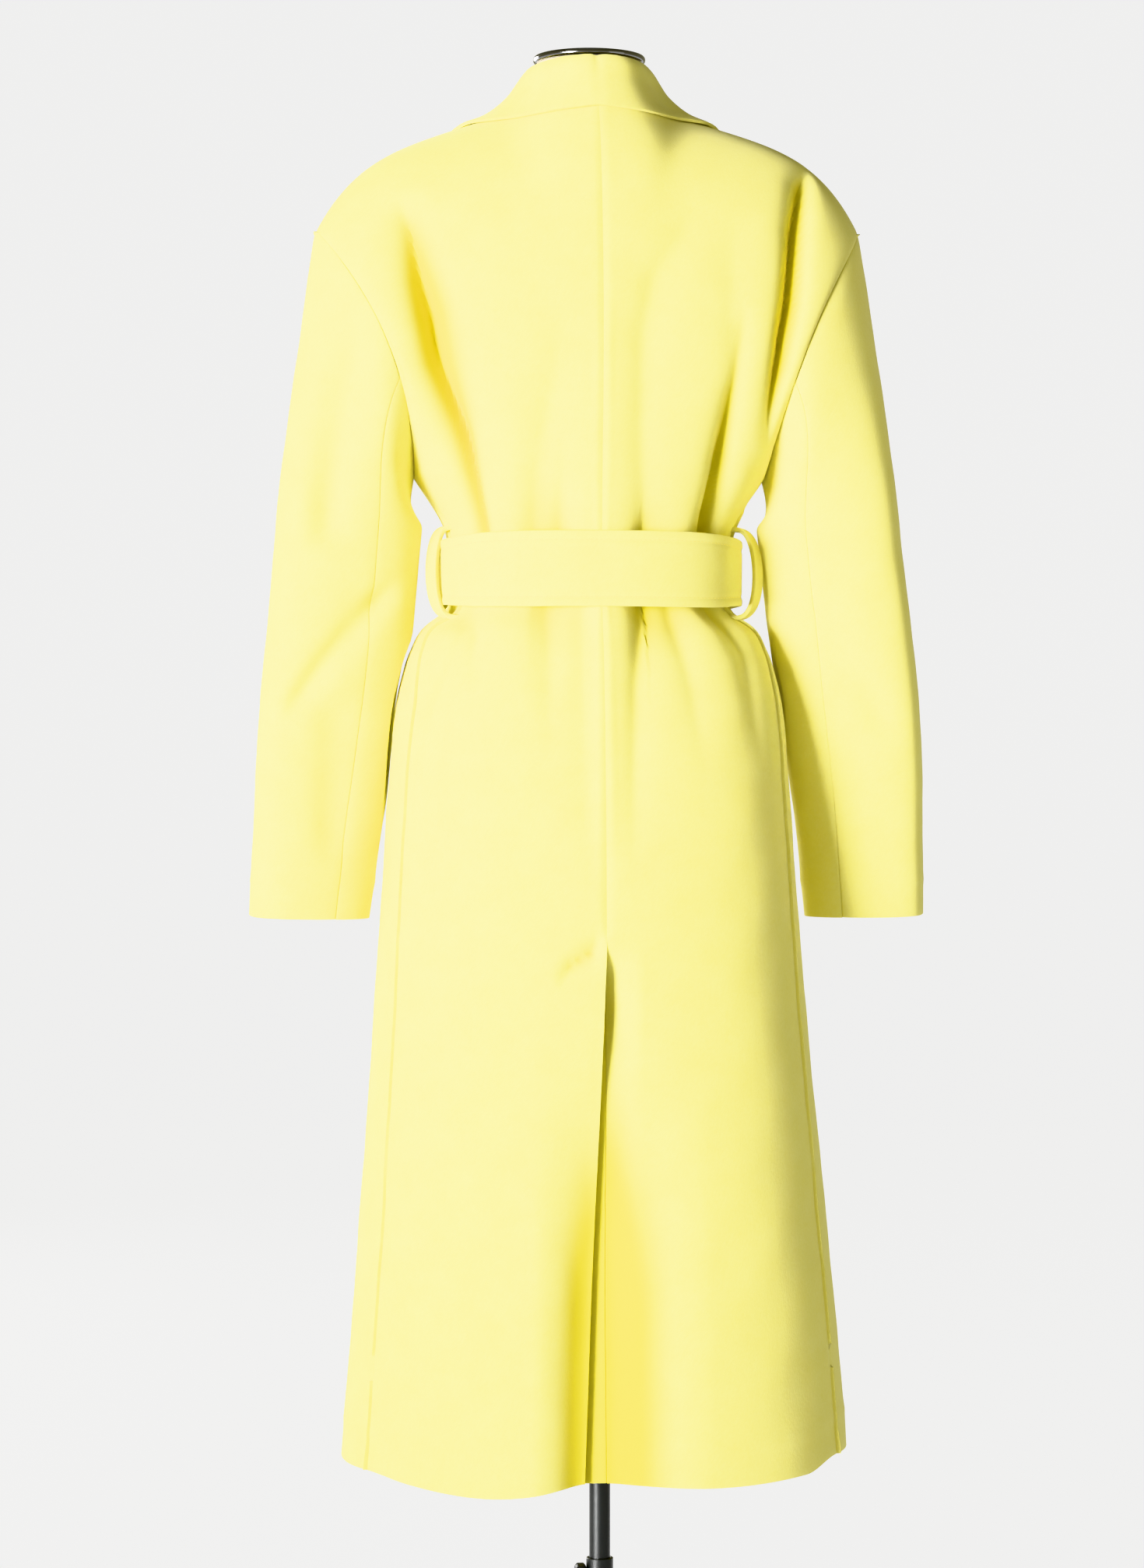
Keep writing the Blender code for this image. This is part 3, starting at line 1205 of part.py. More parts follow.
def build_tube():
    """Outer tube, bored for the pole and drilled for the clamp screw."""
    tube = new_cylinder("outer_tube", TUBE_RADIUS, TUBE_FOOT, TUBE_TOP, BLACK_METAL)
    past = TUBE_RADIUS
    bore = new_cylinder("tube_bore", TUBE_BORE, TUBE_FOOT - past, TUBE_TOP + past, BLACK_METAL)
    hole = new_cylinder("screw_hole", SCREW_RADIUS + SCREW_CLEAR, 0.0, TUBE_RADIUS * 2, BLACK_METAL)
    hole.location = (0.0, 0.0, KNOB_HEIGHT)
    hole.rotation_euler = (0.0, math.pi / 2, 0.0)
    for cutter in (bore, hole):
        cutter.hide_render = True
        cutter.hide_viewport = True
        cut = tube.modifiers.new("cut", "BOOLEAN")
        cut.operation = "DIFFERENCE"
        cut.solver = "EXACT"
        cut.object = cutter


def new_cylinder(name, radius, low, high, finish):
    """An upright cylinder on the Z axis."""
    builder = bmesh.new()
    bmesh.ops.create_cone(
        builder, cap_ends=True, segments=TURN_STEPS, radius1=radius, radius2=radius, depth=high - low
    )
    bmesh.ops.translate(builder, verts=builder.verts[:], vec=(0.0, 0.0, (low + high) / 2))
    return new_object(name, builder, finish)


def build_knob():
    """Clamp knob with its screw, turned and then laid along X."""
    screw_tip = POLE_RADIUS + SCREW_CLEAR
    grip = KNOB_FACE + KNOB_THICK
    knob = turned(
        "clamp_knob",
        [
            (0.0, screw_tip),
            (SCREW_RADIUS, screw_tip),
            (SCREW_RADIUS, KNOB_FACE),
            (KNOB_RADIUS - KNOB_CHAMFER, KNOB_FACE),
            (KNOB_RADIUS, KNOB_FACE + KNOB_CHAMFER),
            (KNOB_RADIUS, grip - KNOB_CHAMFER),
            (KNOB_RADIUS - KNOB_CHAMFER, grip),
            (0.0, grip),
        ],
        BLACK_PLASTIC,
    )
    knob.location = (0.0, 0.0, KNOB_HEIGHT)
    knob.rotation_euler = (0.0, math.pi / 2, 0.0)


def build():
    """The coat, its form and the stand."""
    axis = bpy.data.objects.new("form_axis", None)
    axis.location = (FORM_SHIFT_X, FORM_SHIFT_Y, 0.0)
    PART_COLLECTION.objects.link(axis)
    outer, normal = build_body(axis)
    build_underlap(axis, outer, normal)
    build_lapels(axis, outer, normal)
    build_collar(axis, outer, normal)
    build_belt(axis)
    build_loops(axis, outer, normal)
    build_form(axis)
    build_stand()


for existing in list(bpy.data.objects):
    bpy.data.objects.remove(existing, do_unlink=True)
PART_COLLECTION = bpy.data.collections.new("long_coat")
bpy.context.scene.collection.children.link(PART_COLLECTION)
build()
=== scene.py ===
"""Looks of a long belted wool coat worn by a limbless dress form on a telescopic stand.

The cloth is built again on the form of its solids, finely enough to carry creases, seams and edges.
Metres, +Z up, the coat's front towards -Y and the wearer's left towards +X.
"""

import logging
import math
from dataclasses import dataclass
from enum import Enum
from typing import NamedTuple

import bmesh
import bpy
import numpy as np
from bmesh.types import BMesh
from bpy.types import Material, Mesh, Node, NodeOutputs, NodeSocket, Object
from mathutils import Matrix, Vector


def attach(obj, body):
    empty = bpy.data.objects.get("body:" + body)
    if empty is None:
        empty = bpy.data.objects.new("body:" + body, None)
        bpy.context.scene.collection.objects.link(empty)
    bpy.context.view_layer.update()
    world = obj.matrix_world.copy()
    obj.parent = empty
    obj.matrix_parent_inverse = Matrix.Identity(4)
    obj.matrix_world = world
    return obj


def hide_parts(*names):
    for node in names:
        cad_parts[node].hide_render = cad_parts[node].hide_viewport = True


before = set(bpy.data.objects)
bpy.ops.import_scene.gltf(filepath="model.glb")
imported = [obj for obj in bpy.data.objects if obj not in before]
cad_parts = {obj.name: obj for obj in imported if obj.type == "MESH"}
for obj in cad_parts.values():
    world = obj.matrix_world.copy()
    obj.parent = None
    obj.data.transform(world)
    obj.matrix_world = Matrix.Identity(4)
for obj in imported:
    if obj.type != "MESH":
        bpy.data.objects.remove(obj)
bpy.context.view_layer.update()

LOG = logging.getLogger("long_coat")
Array = np.ndarray


class Side(Enum):
    """The wearer's two sides, as the sign of X."""

    LEFT = 1.0
    RIGHT = -1.0

    @property
    def word(self) -> str:
        """The side's name as node names write it."""
        return self.name.lower()

    def node(self, part: str) -> str:
        """The node name of a part on this side."""
        return f"{part}_{self.word}"


class Held(Enum):
    """How a cut of cloth is held."""

    HUNG = "hung"
    FOLDED = "folded"
    STRETCHED = "stretched"


class RowZone(NamedTuple):
    """Rows of a panel's grid between two heights."""

    low: float
    high: float
    rows: int


class Section(NamedTuple):
    """A level section of the body."""

    height: float
    half_width: float
    back: float
    front: float
    squareness: float
    side_seam_deg: float


class Profile(NamedTuple):
    """A point of a middle line: its height, and its depth from the shoulder seam."""

    height: float
    depth: float


class Guide(NamedTuple):
    """A guide point or direction."""

    x: float
    y: float
    z: float


class Trough(NamedTuple):
    """A trough along points of (out from the middle, height, depth), sharp where its bottom is small."""

    side: Side
    inner_width: float
    outer_width: float
    bottom: float
    path: tuple[tuple[float, float, float], ...]


class RingFold(NamedTuple):
    """A trough that runs down a front or a sleeve at a changing angle."""

    side: Side
    top: float
    bottom: float
    deg_top: float
    deg_bottom: float
    width_deg: float
    depth_top: float
    depth_bottom: float


class SleeveSection(NamedTuple):
    """A slanted oval of the sleeve."""

    height: float
    x: float
    y: float
    half_width: float
    half_depth: float
    slant_deg: float


class CollarStation(NamedTuple):
    """The collar's roll at a share of the way from nape to front end."""

    share: float
    rise: float
    lean: float
    bulge: float


class BeltEnd(NamedTuple):
    """A hanging end of the belt."""

    side: Side
    x_top: float
    x_bottom: float
    length: float
    width: float
    lift: float
    rise: float


class FormSection(NamedTuple):
    """A level section of the dress form."""

    height: float
    half_width: float
    back: float
    front: float
    squareness: float


class Cut(NamedTuple):
    """The flat size of a cut piece of cloth."""

    width: float
    length: float
    area: float


class Pair(NamedTuple):
    """A measure of the wearer's left and right sides."""

    left: float
    right: float

    def of(self, side: Side) -> float:
        """The measure on one side."""
        return self.left if side is Side.LEFT else self.right


class Wave(NamedTuple):
    """A wave through the cloth: its pace along X, Y and Z, and where it starts."""

    x: float
    y: float
    z: float
    start: float

    def at(self, points: Array) -> Array:
        """The wave's height at points."""
        x, y, z = (points[..., part] for part in range(3))
        return np.sin(self.x * x + self.y * y + self.z * z + self.start)


class Lamp(NamedTuple):
    """A square soft light: where it stands and points, its width, watts and beam angle."""

    name: str
    place: Guide
    aim: Guide
    size: float
    power: float
    spread_deg: float


LEFT = Side.LEFT
RIGHT = Side.RIGHT
SIDES = (LEFT, RIGHT)
UP = np.array([0.0, 0.0, 1.0])
LEVEL = np.array([1.0, 1.0, 0.0])
COAT_BODY = "form"
FORM_SHIFT = np.array([0.008, -0.010, 0.0])
STAND_AXIS = np.zeros(3)
CLOTH = 0.0026
ALL_PANELS = ["back_left", "back_right", "front_left", "front_right"]
DRIFT_WAVES = (
    (1.0, Wave(41, 0, 19, 0.7), Wave(0, -23, 17, 1.9)),
    (0.6, Wave(73, 0, -31, 2.3), Wave(0, 29, 37, 0.4)),
    (0.3, Wave(127, 89, 61, 0.0), Wave(-47, 0, 103, 1.1)),
)
DRIFT_PEAK = 1.9
SOFT_REACH = 3
SOFT_STEPS = 6
LEAST_LENGTH = 1e-12
QUARTER_DEG = 90
HALF_TURN_DEG = 180


def smooth_curve(knots: Array, values: Array, at: Array) -> Array:
    """A smooth curve through table values.

    Args:
        knots: Rising places of the table's rows.
        values: One value or row of values for each knot.
        at: Places to read.

    Returns:
        The values at those places.
    """
    knots = np.asarray(knots, float)
    values = np.asarray(values, float)
    slopes = np.gradient(values, knots, axis=0)
    index = np.clip(np.searchsorted(knots, at, side="right") - 1, 0, len(knots) - 2)
    step = knots[index + 1] - knots[index]
    share = (at - knots[index]) / step
    if values.ndim > 1:
        step = step[:, None]
        share = share[:, None]
    rise = share * share * (3 - 2 * share)
    start = share * (1 - share) ** 2 * step
    end = share * share * (share - 1) * step
    between = values[index] * (1 - rise) + values[index + 1] * rise
    return between + slopes[index] * start + slopes[index + 1] * end


def ramp(low: float, high: float, value: Array) -> Array:
    """A soft step from zero at the low place to one at the high place."""
    share = np.clip((value - low) / (high - low), 0.0, 1.0)
    return share * share * (3 - 2 * share)


def mix(first: Array, second: Array, share: Array) -> Array:
    """A value part of the way from the first to the second."""
    return first + (second - first) * share


def signed_power(value: Array, power: Array) -> Array:
    """A power that keeps the value's sign."""
    return np.sign(value) * np.abs(value) ** power


def unit(vectors: Array) -> Array:
    """Vectors scaled to length one."""
    return vectors / np.maximum(np.linalg.norm(vectors, axis=-1, keepdims=True), LEAST_LENGTH)


def from_axis(points: Array) -> Array:
    """Directions away from the body's upright axis."""
    return points * LEVEL


def hump(value: Array, width: float) -> Array:
    """A bell curve that is one where the value is zero."""
    return np.exp(-((value / width) ** 2))


def line_run(points: Array) -> Array:
    """Distance run along a line from its first point."""
    return np.concatenate([[0.0], np.cumsum(np.linalg.norm(np.diff(points, axis=0), axis=1))])


def grid(x: Array, y: Array, z: Array) -> Array:
    """Points of a grid from their parts."""
    return np.stack(np.broadcast_arrays(x, y, z), axis=-1)


def facing(points: Array, outward: Array) -> Array:
    """Unit normals of a grid of points.

    Args:
        points: Rows and columns of points.
        outward: Directions that the normals agree with on the whole.

    Returns:
        A normal for each point.
    """
    along = np.gradient(points, axis=1, edge_order=2)
    up = np.gradient(points, axis=0, edge_order=2)
    normal = unit(np.cross(along, up))
    return normal if np.sum(normal * outward) >= 0 else -normal


def mitre(first: Array, second: Array, limit: float = 0.3) -> tuple[Array, Array]:
    """Offset directions that two panels share along a seam.

    Args:
        first: Normals of the first panel along the seam.
        second: Normals of the second panel there.
        limit: How far the two have to agree to be joined.

    Returns:
        The new directions of both panels.
    """
    agree = np.sum(first * second, axis=-1, keepdims=True)
    shared = (first + second) / (1 + np.clip(agree, limit, None))
    joined = agree > limit
    return np.where(joined, shared, first), np.where(joined, shared, second)


def run_lengths(points: Array, axis: int) -> Array:
    """Distance run along a grid's rows or columns from its first line.

    Args:
        points: Rows and columns of points.
        axis: The axis to run along.

    Returns:
        The distance at each point.
    """
    steps = np.linalg.norm(np.diff(points, axis=axis), axis=-1)
    pad = [(0, 0), (0, 0)]
    pad[axis] = (1, 0)
    return np.pad(np.cumsum(steps, axis=axis), pad)


def grid_at(points: Array, row: float, column: float) -> Array:
    """A point of a grid between its rows and columns.

    Args:
        points: Rows and columns of points.
        row: The place between rows.
        column: The place between columns.

    Returns:
        The point.
    """
    low_row = int(min(row, points.shape[0] - 2))
    low_column = int(min(column, points.shape[1] - 2))
    down = row - low_row
    along = column - low_column
    near = points[low_row, low_column] * (1 - along) + points[low_row, low_column + 1] * along
    far = points[low_row + 1, low_column] * (1 - along) + points[low_row + 1, low_column + 1] * along
    return near * (1 - down) + far * down


def pull_edge(points: Array, target: Array, reach: int) -> None:
    """Moves a grid's first line onto a target, and the lines within reach behind it by less and less."""
    fade = 1 - ramp(0.0, reach, np.arange(reach))
    points[:reach] += (target - points[0]) * fade[:, None, None]


def softened(values: Array, at: Array, size: float) -> Array:
    """A curve with its corners rounded off.

    Args:
        values: Heights of the curve, even about its start.
        at: Distances of these heights from the start.
        size: The width of the rounding.

    Returns:
        The rounded heights at the same distances.
    """
    step = size / SOFT_STEPS
    reach = SOFT_REACH * size
    even = np.arange(-reach, at[-1] + reach, step)
    past_end = values[-1] + (even - at[-1]) * (values[-1] - values[-2]) / (at[-1] - at[-2])
    heights = np.where(even > at[-1], past_end, np.interp(np.abs(even), at, values))
    kernel = hump(np.arange(-reach, reach, step), size)
    return np.interp(at, even, np.convolve(heights, kernel / kernel.sum(), mode="same"))


def path_depth(trough: Trough, x: Array, z: Array) -> Array:
    """Depth of one trough.

    Args:
        trough: The trough and its path.
        x: Distances out from the middle.
        z: Heights.

    Returns:
        The depth at each place.
    """
    path = np.array(trough.path)
    best = np.full(x.shape, np.inf)
    depth = np.zeros_like(x)
    for start, end in zip(path, path[1:]):
        way = end[:2] - start[:2]
        length = float(way @ way)
        share = np.clip(((x - start[0]) * way[0] + (z - start[1]) * way[1]) / length, 0, 1)
        off_x = x - start[0] - share * way[0]
        off_z = z - start[1] - share * way[1]
        away = np.hypot(off_x, off_z)
        width = np.where(off_x < 0, trough.inner_width, trough.outer_width)
        wall = np.exp((trough.bottom - np.hypot(away, trough.bottom)) / width)
        here = mix(start[2], end[2], share) * wall
        nearer = away < best
        depth = np.where(nearer, here, depth)
        best = np.minimum(best, away)
    return depth


def drift(points: Array, size: float) -> Array:
    """Depth of hung cloth's slow unevenness at points, up to a size."""
    waves = sum(weight * first.at(points) * second.at(points) for weight, first, second in DRIFT_WAVES)
    return size * waves / DRIFT_PEAK


class NodeTree:
    """A small helper that places and links shader nodes."""

    def __init__(self, tree: bpy.types.NodeTree) -> None:
        """Keeps the tree that nodes go into."""
        self.tree = tree

    def add(self, kind: str, inputs: dict | None = None, **settings: object) -> Node:
        """Adds a node.

        Args:
            kind: The node's type name.
            inputs: Socket names or numbers with a value or an output socket for each.
            settings: The node's own settings.

        Returns:
            The new node.
        """
        node = self.tree.nodes.new(kind)
        for name, value in settings.items():
            setattr(node, name, value)
        self.give(node, inputs or {})
        return node

    def give(self, node: Node, inputs: dict) -> None:
        """Gives a node its input values and links.

        Args:
            node: The node.
            inputs: Socket names or numbers with a value or an output socket for each.
        """
        for name, value in inputs.items():
            socket = node.inputs[name]
            if isinstance(value, NodeSocket):
                self.tree.links.new(value, socket)
            else:
                socket.default_value = value


Colour = tuple[float, float, float, float]
Numbers = tuple[tuple[str, float], ...]


@dataclass(frozen=True)
class NodeGroup:
    """A shader node group with number sockets."""

    name: str
    inputs: Numbers
    outputs: tuple[str, ...]

    def tree(self) -> bpy.types.NodeTree:
        """The group, built once.

        Returns:
            The group's tree.
        """
        made = bpy.data.node_groups.get(self.name)
        if made is not None:
            return made
        made = bpy.data.node_groups.new(self.name, "ShaderNodeTree")
        number = "NodeSocketFloat"
        for socket, value in self.inputs:
            made.interface.new_socket(socket, in_out="INPUT", socket_type=number).default_value = value
        for socket in self.outputs:
            made.interface.new_socket(socket, in_out="OUTPUT", socket_type=number)
        nodes = NodeTree(made)
        given = nodes.add("NodeGroupInput").outputs
        place = nodes.add("ShaderNodeTexCoord").outputs["Object"]
        nodes.add("NodeGroupOutput", self.fill(nodes, given, place))
        return made

    def fill(self, nodes: NodeTree, given: NodeOutputs, place: NodeSocket) -> dict:
        """Adds the group's own nodes and returns a socket for each output."""
        raise NotImplementedError


@dataclass(frozen=True)
class FibreGroup(NodeGroup):
    """The node group of a cloth's fibres: fine streaks, cloudy tone and the height of the nap."""

    name: str = "cloth_fibres"
    inputs: Numbers = (("Streak Scale", 500.0), ("Cloud Scale", 40.0), ("Turn", 0.6))
    outputs: tuple[str, ...] = ("Tone", "Height")
    stretch: tuple[float, float, float] = (1.0, 1.0, 0.28)
    streak_detail: float = 3.0
    streak_roughness: float = 0.62
    cloud_detail: float = 4.0
    cloud_roughness: float = 0.6

    def fill(self, nodes: NodeTree, given: NodeOutputs, place: NodeSocket) -> dict:
        """Adds streaks along a turned, stretched place, and clouds.

        Args:
            nodes: The group's node helper.
            given: The group's inputs.
            place: The place on the object.

        Returns:
            A socket for each output.
        """
        slant = {"Vector": place, "Angle": given["Turn"]}
        turn = nodes.add("ShaderNodeVectorRotate", slant, rotation_type="Y_AXIS")
        longer = {0: turn.outputs[0], 1: self.stretch}
        along = nodes.add("ShaderNodeVectorMath", longer, operation="MULTIPLY").outputs[0]
        fine = {"Detail": self.streak_detail, "Roughness": self.streak_roughness}
        fine |= {"Vector": along, "Scale": given["Streak Scale"]}
        streak = nodes.add("ShaderNodeTexNoise", fine)
        broad = {"Detail": self.cloud_detail, "Roughness": self.cloud_roughness}
        broad |= {"Vector": place, "Scale": given["Cloud Scale"]}
        cloud = nodes.add("ShaderNodeTexNoise", broad)
        both = nodes.add("ShaderNodeMath", {0: streak.outputs[0], 1: cloud.outputs[0]}, operation="ADD")
        half = nodes.add("ShaderNodeMath", {0: both.outputs[0], 1: 0.5}, operation="MULTIPLY")
        return {"Tone": half.outputs[0], "Height": streak.outputs[0]}


@dataclass(frozen=True)
class GrainGroup(NodeGroup):
    """The node group of a hard finish: a faint unevenness of its gloss."""

    name: str = "fine_grain"
    inputs: Numbers = (("Scale", 300.0), ("Low", 0.3), ("High", 0.5))
    outputs: tuple[str, ...] = ("Roughness", "Height")
    grain_range: tuple[float, float] = (0.3, 0.7)
    detail: float = 4.0

    def fill(self, nodes: NodeTree, given: NodeOutputs, place: NodeSocket) -> dict:
        """Adds the grain and spreads it over the roughness.

        Args:
            nodes: The group's node helper.
            given: The group's inputs.
            place: The place on the object.

        Returns:
            A socket for each output.
        """
        fine = {"Vector": place, "Scale": given["Scale"], "Detail": self.detail}
        grain = nodes.add("ShaderNodeTexNoise", fine)
        low, high = self.grain_range
        limits = {"From Min": low, "From Max": high, "To Min": given["Low"], "To Max": given["High"]}
        spread = nodes.add("ShaderNodeMapRange", {"Value": grain.outputs[0], **limits})
        return {"Roughness": spread.outputs[0], "Height": grain.outputs[0]}


@dataclass(frozen=True)
class Finish:
    """A finish, known by its material's name."""

    name: str

    def material(self) -> Material:
        """The material, made once.

        Returns:
            The material.
        """
        made = bpy.data.materials.get(self.name)
        if made is None:
            made = bpy.data.materials.new(self.name)
            made.use_nodes = True
            nodes = NodeTree(made.node_tree)
            nodes.give(made.node_tree.nodes["Principled BSDF"], self.shader_inputs(nodes))
        return made

    def shader_inputs(self, nodes: NodeTree) -> dict[str, object]:
        """Values and links of the material's Principled shader."""
        raise NotImplementedError


@dataclass(frozen=True)
class ClothFinish(Finish):
    """A fibrous cloth: two tones, painted shade in its creases, nap and sheen."""

    slot: str
    light: Colour
    dark: Colour
    # Painted shade colour for the folds.
    crease: Colour
    streak_scale: float
    cloud_scale: float
    turn: float
    bump: float
    bump_distance: float
    roughness: float
    sheen: float
    sheen_roughness: float
    sheen_tint: Colour
    specular: float = 0.15
    tone_range: tuple[float, float] = (0.35, 0.65)

    def shader_inputs(self, nodes: NodeTree) -> dict[str, object]:
        """Mixes the tones with the painted shade colour of the creases, and raises the nap.

        Args:
            nodes: The material's node helper.

        Returns:
            Values and links of the Principled shader.
        """
        fibres = nodes.add(
            "ShaderNodeGroup",
            {"Streak Scale": self.streak_scale, "Cloud Scale": self.cloud_scale, "Turn": self.turn},
            node_tree=FibreGroup().tree(),
        ).outputs
        low, high = self.tone_range
        spread = nodes.add("ShaderNodeMapRange", {"Value": fibres["Tone"], "From Min": low, "From Max": high})
        tones = {"Factor": spread.outputs[0], "A": self.dark, "B": self.light}
        tone = nodes.add("ShaderNodeMix", tones, data_type="RGBA")
        # Painted shade: each point's share, from 0 to 1, darkens the tone towards the painted shade colour in
        # folds.
        crease = nodes.add("ShaderNodeAttribute", attribute_name="crease")
        painted_shade_mix = {"Factor": crease.outputs["Fac"], "A": tone.outputs["Result"], "B": self.crease}
        colour = nodes.add("ShaderNodeMix", painted_shade_mix, data_type="RGBA")
        raised = {"Strength": self.bump, "Distance": self.bump_distance, "Height": fibres["Height"]}
        return {
            "Base Color": colour.outputs["Result"],
            "Normal": nodes.add("ShaderNodeBump", raised).outputs["Normal"],
            "Roughness": self.roughness,
            "Specular IOR Level": self.specular,
            "Sheen Weight": self.sheen,
            "Sheen Roughness": self.sheen_roughness,
            "Sheen Tint": self.sheen_tint,
        }


@dataclass(frozen=True)
class HardFinish(Finish):
    """A hard finish with a slightly uneven gloss."""

    slot: str
    colour: Colour
    metallic: float
    rough_low: float
    rough_high: float
    grain_scale: float
    bump: float
    coat: float
    bump_distance: float = 0.0003

    def shader_inputs(self, nodes: NodeTree) -> dict[str, object]:
        """Adds the grain of gloss and surface.

        Args:
            nodes: The material's node helper.

        Returns:
            Values and links of the Principled shader.
        """
        grain = nodes.add(
            "ShaderNodeGroup",
            {"Scale": self.grain_scale, "Low": self.rough_low, "High": self.rough_high},
            node_tree=GrainGroup().tree(),
        ).outputs
        raised = {"Strength": self.bump, "Distance": self.bump_distance, "Height": grain["Height"]}
        return {
            "Base Color": self.colour,
            "Metallic": self.metallic,
            "Roughness": grain["Roughness"],
            "Coat Weight": self.coat,
            "Normal": nodes.add("ShaderNodeBump", raised).outputs["Normal"],
        }


@dataclass(frozen=True)
class PaperFinish(Finish):
    """Pale paper that glows a little."""

    grey: float
    glow: float
    roughness: float = 0.9
    specular: float = 0.1

    def shader_inputs(self, nodes: NodeTree) -> dict[str, object]:
        """Values of the paper's Principled shader.

        Args:
            nodes: The material's node helper, which paper leaves as it is.

        Returns:
            The values by input.
        """
        return {
            "Base Color": (self.grey, self.grey, self.grey, 1.0),
            "Roughness": self.roughness,
            "Specular IOR Level": self.specular,
            "Emission Color": (1.0, 1.0, 1.0, 1.0),
            "Emission Strength": self.glow,
        }


WOOL = ClothFinish(
    name="felted_wool",
    slot="yellow_wool",
    light=(0.80, 0.745, 0.225, 1.0),
    dark=(0.78, 0.715, 0.185, 1.0),
    # Painted shade: a darker, deeper yellow painted into deep folds and beside the vent.
    crease=(0.60, 0.51, 0.03, 1.0),
    streak_scale=620.0,
    cloud_scale=38.0,
    turn=0.62,
    bump=0.30,
    bump_distance=0.0005,
    roughness=0.95,
    sheen=0.25,
    sheen_roughness=0.55,
    sheen_tint=(1.0, 0.98, 0.75, 1.0),
)
THREAD = ClothFinish(
    name="sewing_thread",
    slot="yellow_wool",
    light=(0.95, 0.86, 0.24, 1.0),
    dark=(0.90, 0.78, 0.16, 1.0),
    # Painted shade: the colour painted into folds.
    crease=(0.85, 0.70, 0.05, 1.0),
    streak_scale=2400.0,
    cloud_scale=90.0,
    turn=0.2,
    bump=0.2,
    bump_distance=0.0001,
    roughness=0.6,
    sheen=0.1,
    sheen_roughness=0.5,
    sheen_tint=(1.0, 0.98, 0.8, 1.0),
)
LINEN = ClothFinish(
    name="form_linen",
    slot="beige_linen",
    light=(0.89, 0.80, 0.62, 1.0),
    dark=(0.80, 0.69, 0.50, 1.0),
    # Painted shade: the colour painted into folds.
    crease=(0.70, 0.60, 0.44, 1.0),
    streak_scale=900.0,
    cloud_scale=120.0,
    turn=0.0,
    bump=0.45,
    bump_distance=0.0003,
    roughness=0.9,
    sheen=0.1,
    sheen_roughness=0.5,
    sheen_tint=(1.0, 0.97, 0.9, 1.0),
)
CHROME = HardFinish("neck_chrome", "chrome_trim", (0.26, 0.26, 0.27, 1.0), 1.0, 0.08, 0.16, 220.0, 0.02, 0.0)
BLACK_METAL = HardFinish(
    "satin_black", "black_metal", (0.012, 0.013, 0.013, 1.0), 0.2, 0.34, 0.46, 420.0, 0.08, 0.15
)
BLACK_PLASTIC = HardFinish(
    "knob_plastic", "black_plastic", (0.016, 0.016, 0.017, 1.0), 0.0, 0.42, 0.55, 900.0, 0.15, 0.0
)
PAPER = PaperFinish("pale_paper", grey=0.06, glow=0.98)


@dataclass(frozen=True)
class ClothMaker:
    """Turns grids of points into cloth shells with rounded edges."""

    edge_round: float = 0.0011
    edge_segments: int = 3
    edge_angle_deg: float = 55.0

    def sew(
        self,
        node: str,
        points: Array,
        normals: Array,
        held: Held,
        rests_on: list[str],
        thickness: float | Array = CLOTH,
        crease: float | Array = 0.0,
    ) -> None:
        """Builds a closed shell on a grid of outer points.

        Args:
            node: The solid's node.
            points: Rows and columns of outer points.
            normals: The direction out of the cloth at each point.
            held: Not used.
            rests_on: Not used.
            thickness: The wall's thickness.
            crease: How much painted fold shade each point gets, from 0 to 1.
        """
        name = "cloth_" + node
        rows, columns = points.shape[:2]
        inner = points - normals * np.broadcast_to(thickness, (rows, columns))[..., None]
        faces = self.shell_faces(rows, columns)
        middle = (rows // 2, columns // 2)
        across = points[middle[0], middle[1] + 1] - points[middle]
        along = points[middle[0] + 1, middle[1]] - points[middle]
        if np.dot(np.cross(across, along), normals[middle]) < 0:
            faces = faces[:, ::-1]
        vertices = np.concatenate([points.reshape(-1, 3), inner.reshape(-1, 3)])
        mesh = bpy.data.meshes.new(name)
        mesh.from_pydata(vertices.tolist(), [], faces.tolist())
        mesh.polygons.foreach_set("use_smooth", np.ones(len(faces), bool))
        # Painted shade: each point's share is stored for the wool to darken its folds with.
        tone = np.broadcast_to(np.clip(crease, 0, 1), (rows, columns)).reshape(-1)
        attribute = mesh.attributes.new("crease", "FLOAT", "POINT")
        attribute.data.foreach_set("value", np.concatenate([tone, tone]).astype(np.float32))
        made = place_piece(name, mesh, WOOL)
        round_edges(made, self.edge_round, self.edge_segments, self.edge_angle_deg)
        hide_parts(node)

    def shell_faces(self, rows: int, columns: int) -> Array:
        """Faces of a shell: outer grid, inner grid and the rim between them.

        Args:
            rows: Rows of the grid.
            columns: Columns of the grid.

        Returns:
            Four vertex numbers for each face.
        """
        index = np.arange(rows * columns).reshape(rows, columns)
        corners = [index[:-1, :-1], index[:-1, 1:], index[1:, 1:], index[1:, :-1]]
        quads = np.stack(corners, axis=-1).reshape(-1, 4)
        loop = np.concatenate([index[0, :-1], index[:-1, -1], index[-1, :0:-1], index[:0:-1, 0]])
        after = np.roll(loop, -1)
        far = rows * columns
        rim = np.stack([after, loop, loop + far, after + far], axis=-1)
        return np.concatenate([quads, quads[:, ::-1] + far, rim])


def place_piece(
    name: str,
    mesh: Mesh,
    finish: ClothFinish | HardFinish,
    shift: Array = FORM_SHIFT,
    body: str = COAT_BODY,
) -> Object:
    """Puts a mesh into the scene as a piece.

    Args:
        name: The piece's name.
        mesh: Its mesh.
        finish: Its finish.
        shift: Where its own middle stands in the frame.
        body: The body that it rides on.

    Returns:
        The new object.
    """
    mesh.materials.clear()
    mesh.materials.append(finish.material())
    made = bpy.data.objects.new(name, mesh)
    made.location = shift
    bpy.context.scene.collection.objects.link(made)
    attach(made, body)
    LOG.info("%s: %d faces", name, len(mesh.polygons))
    return made


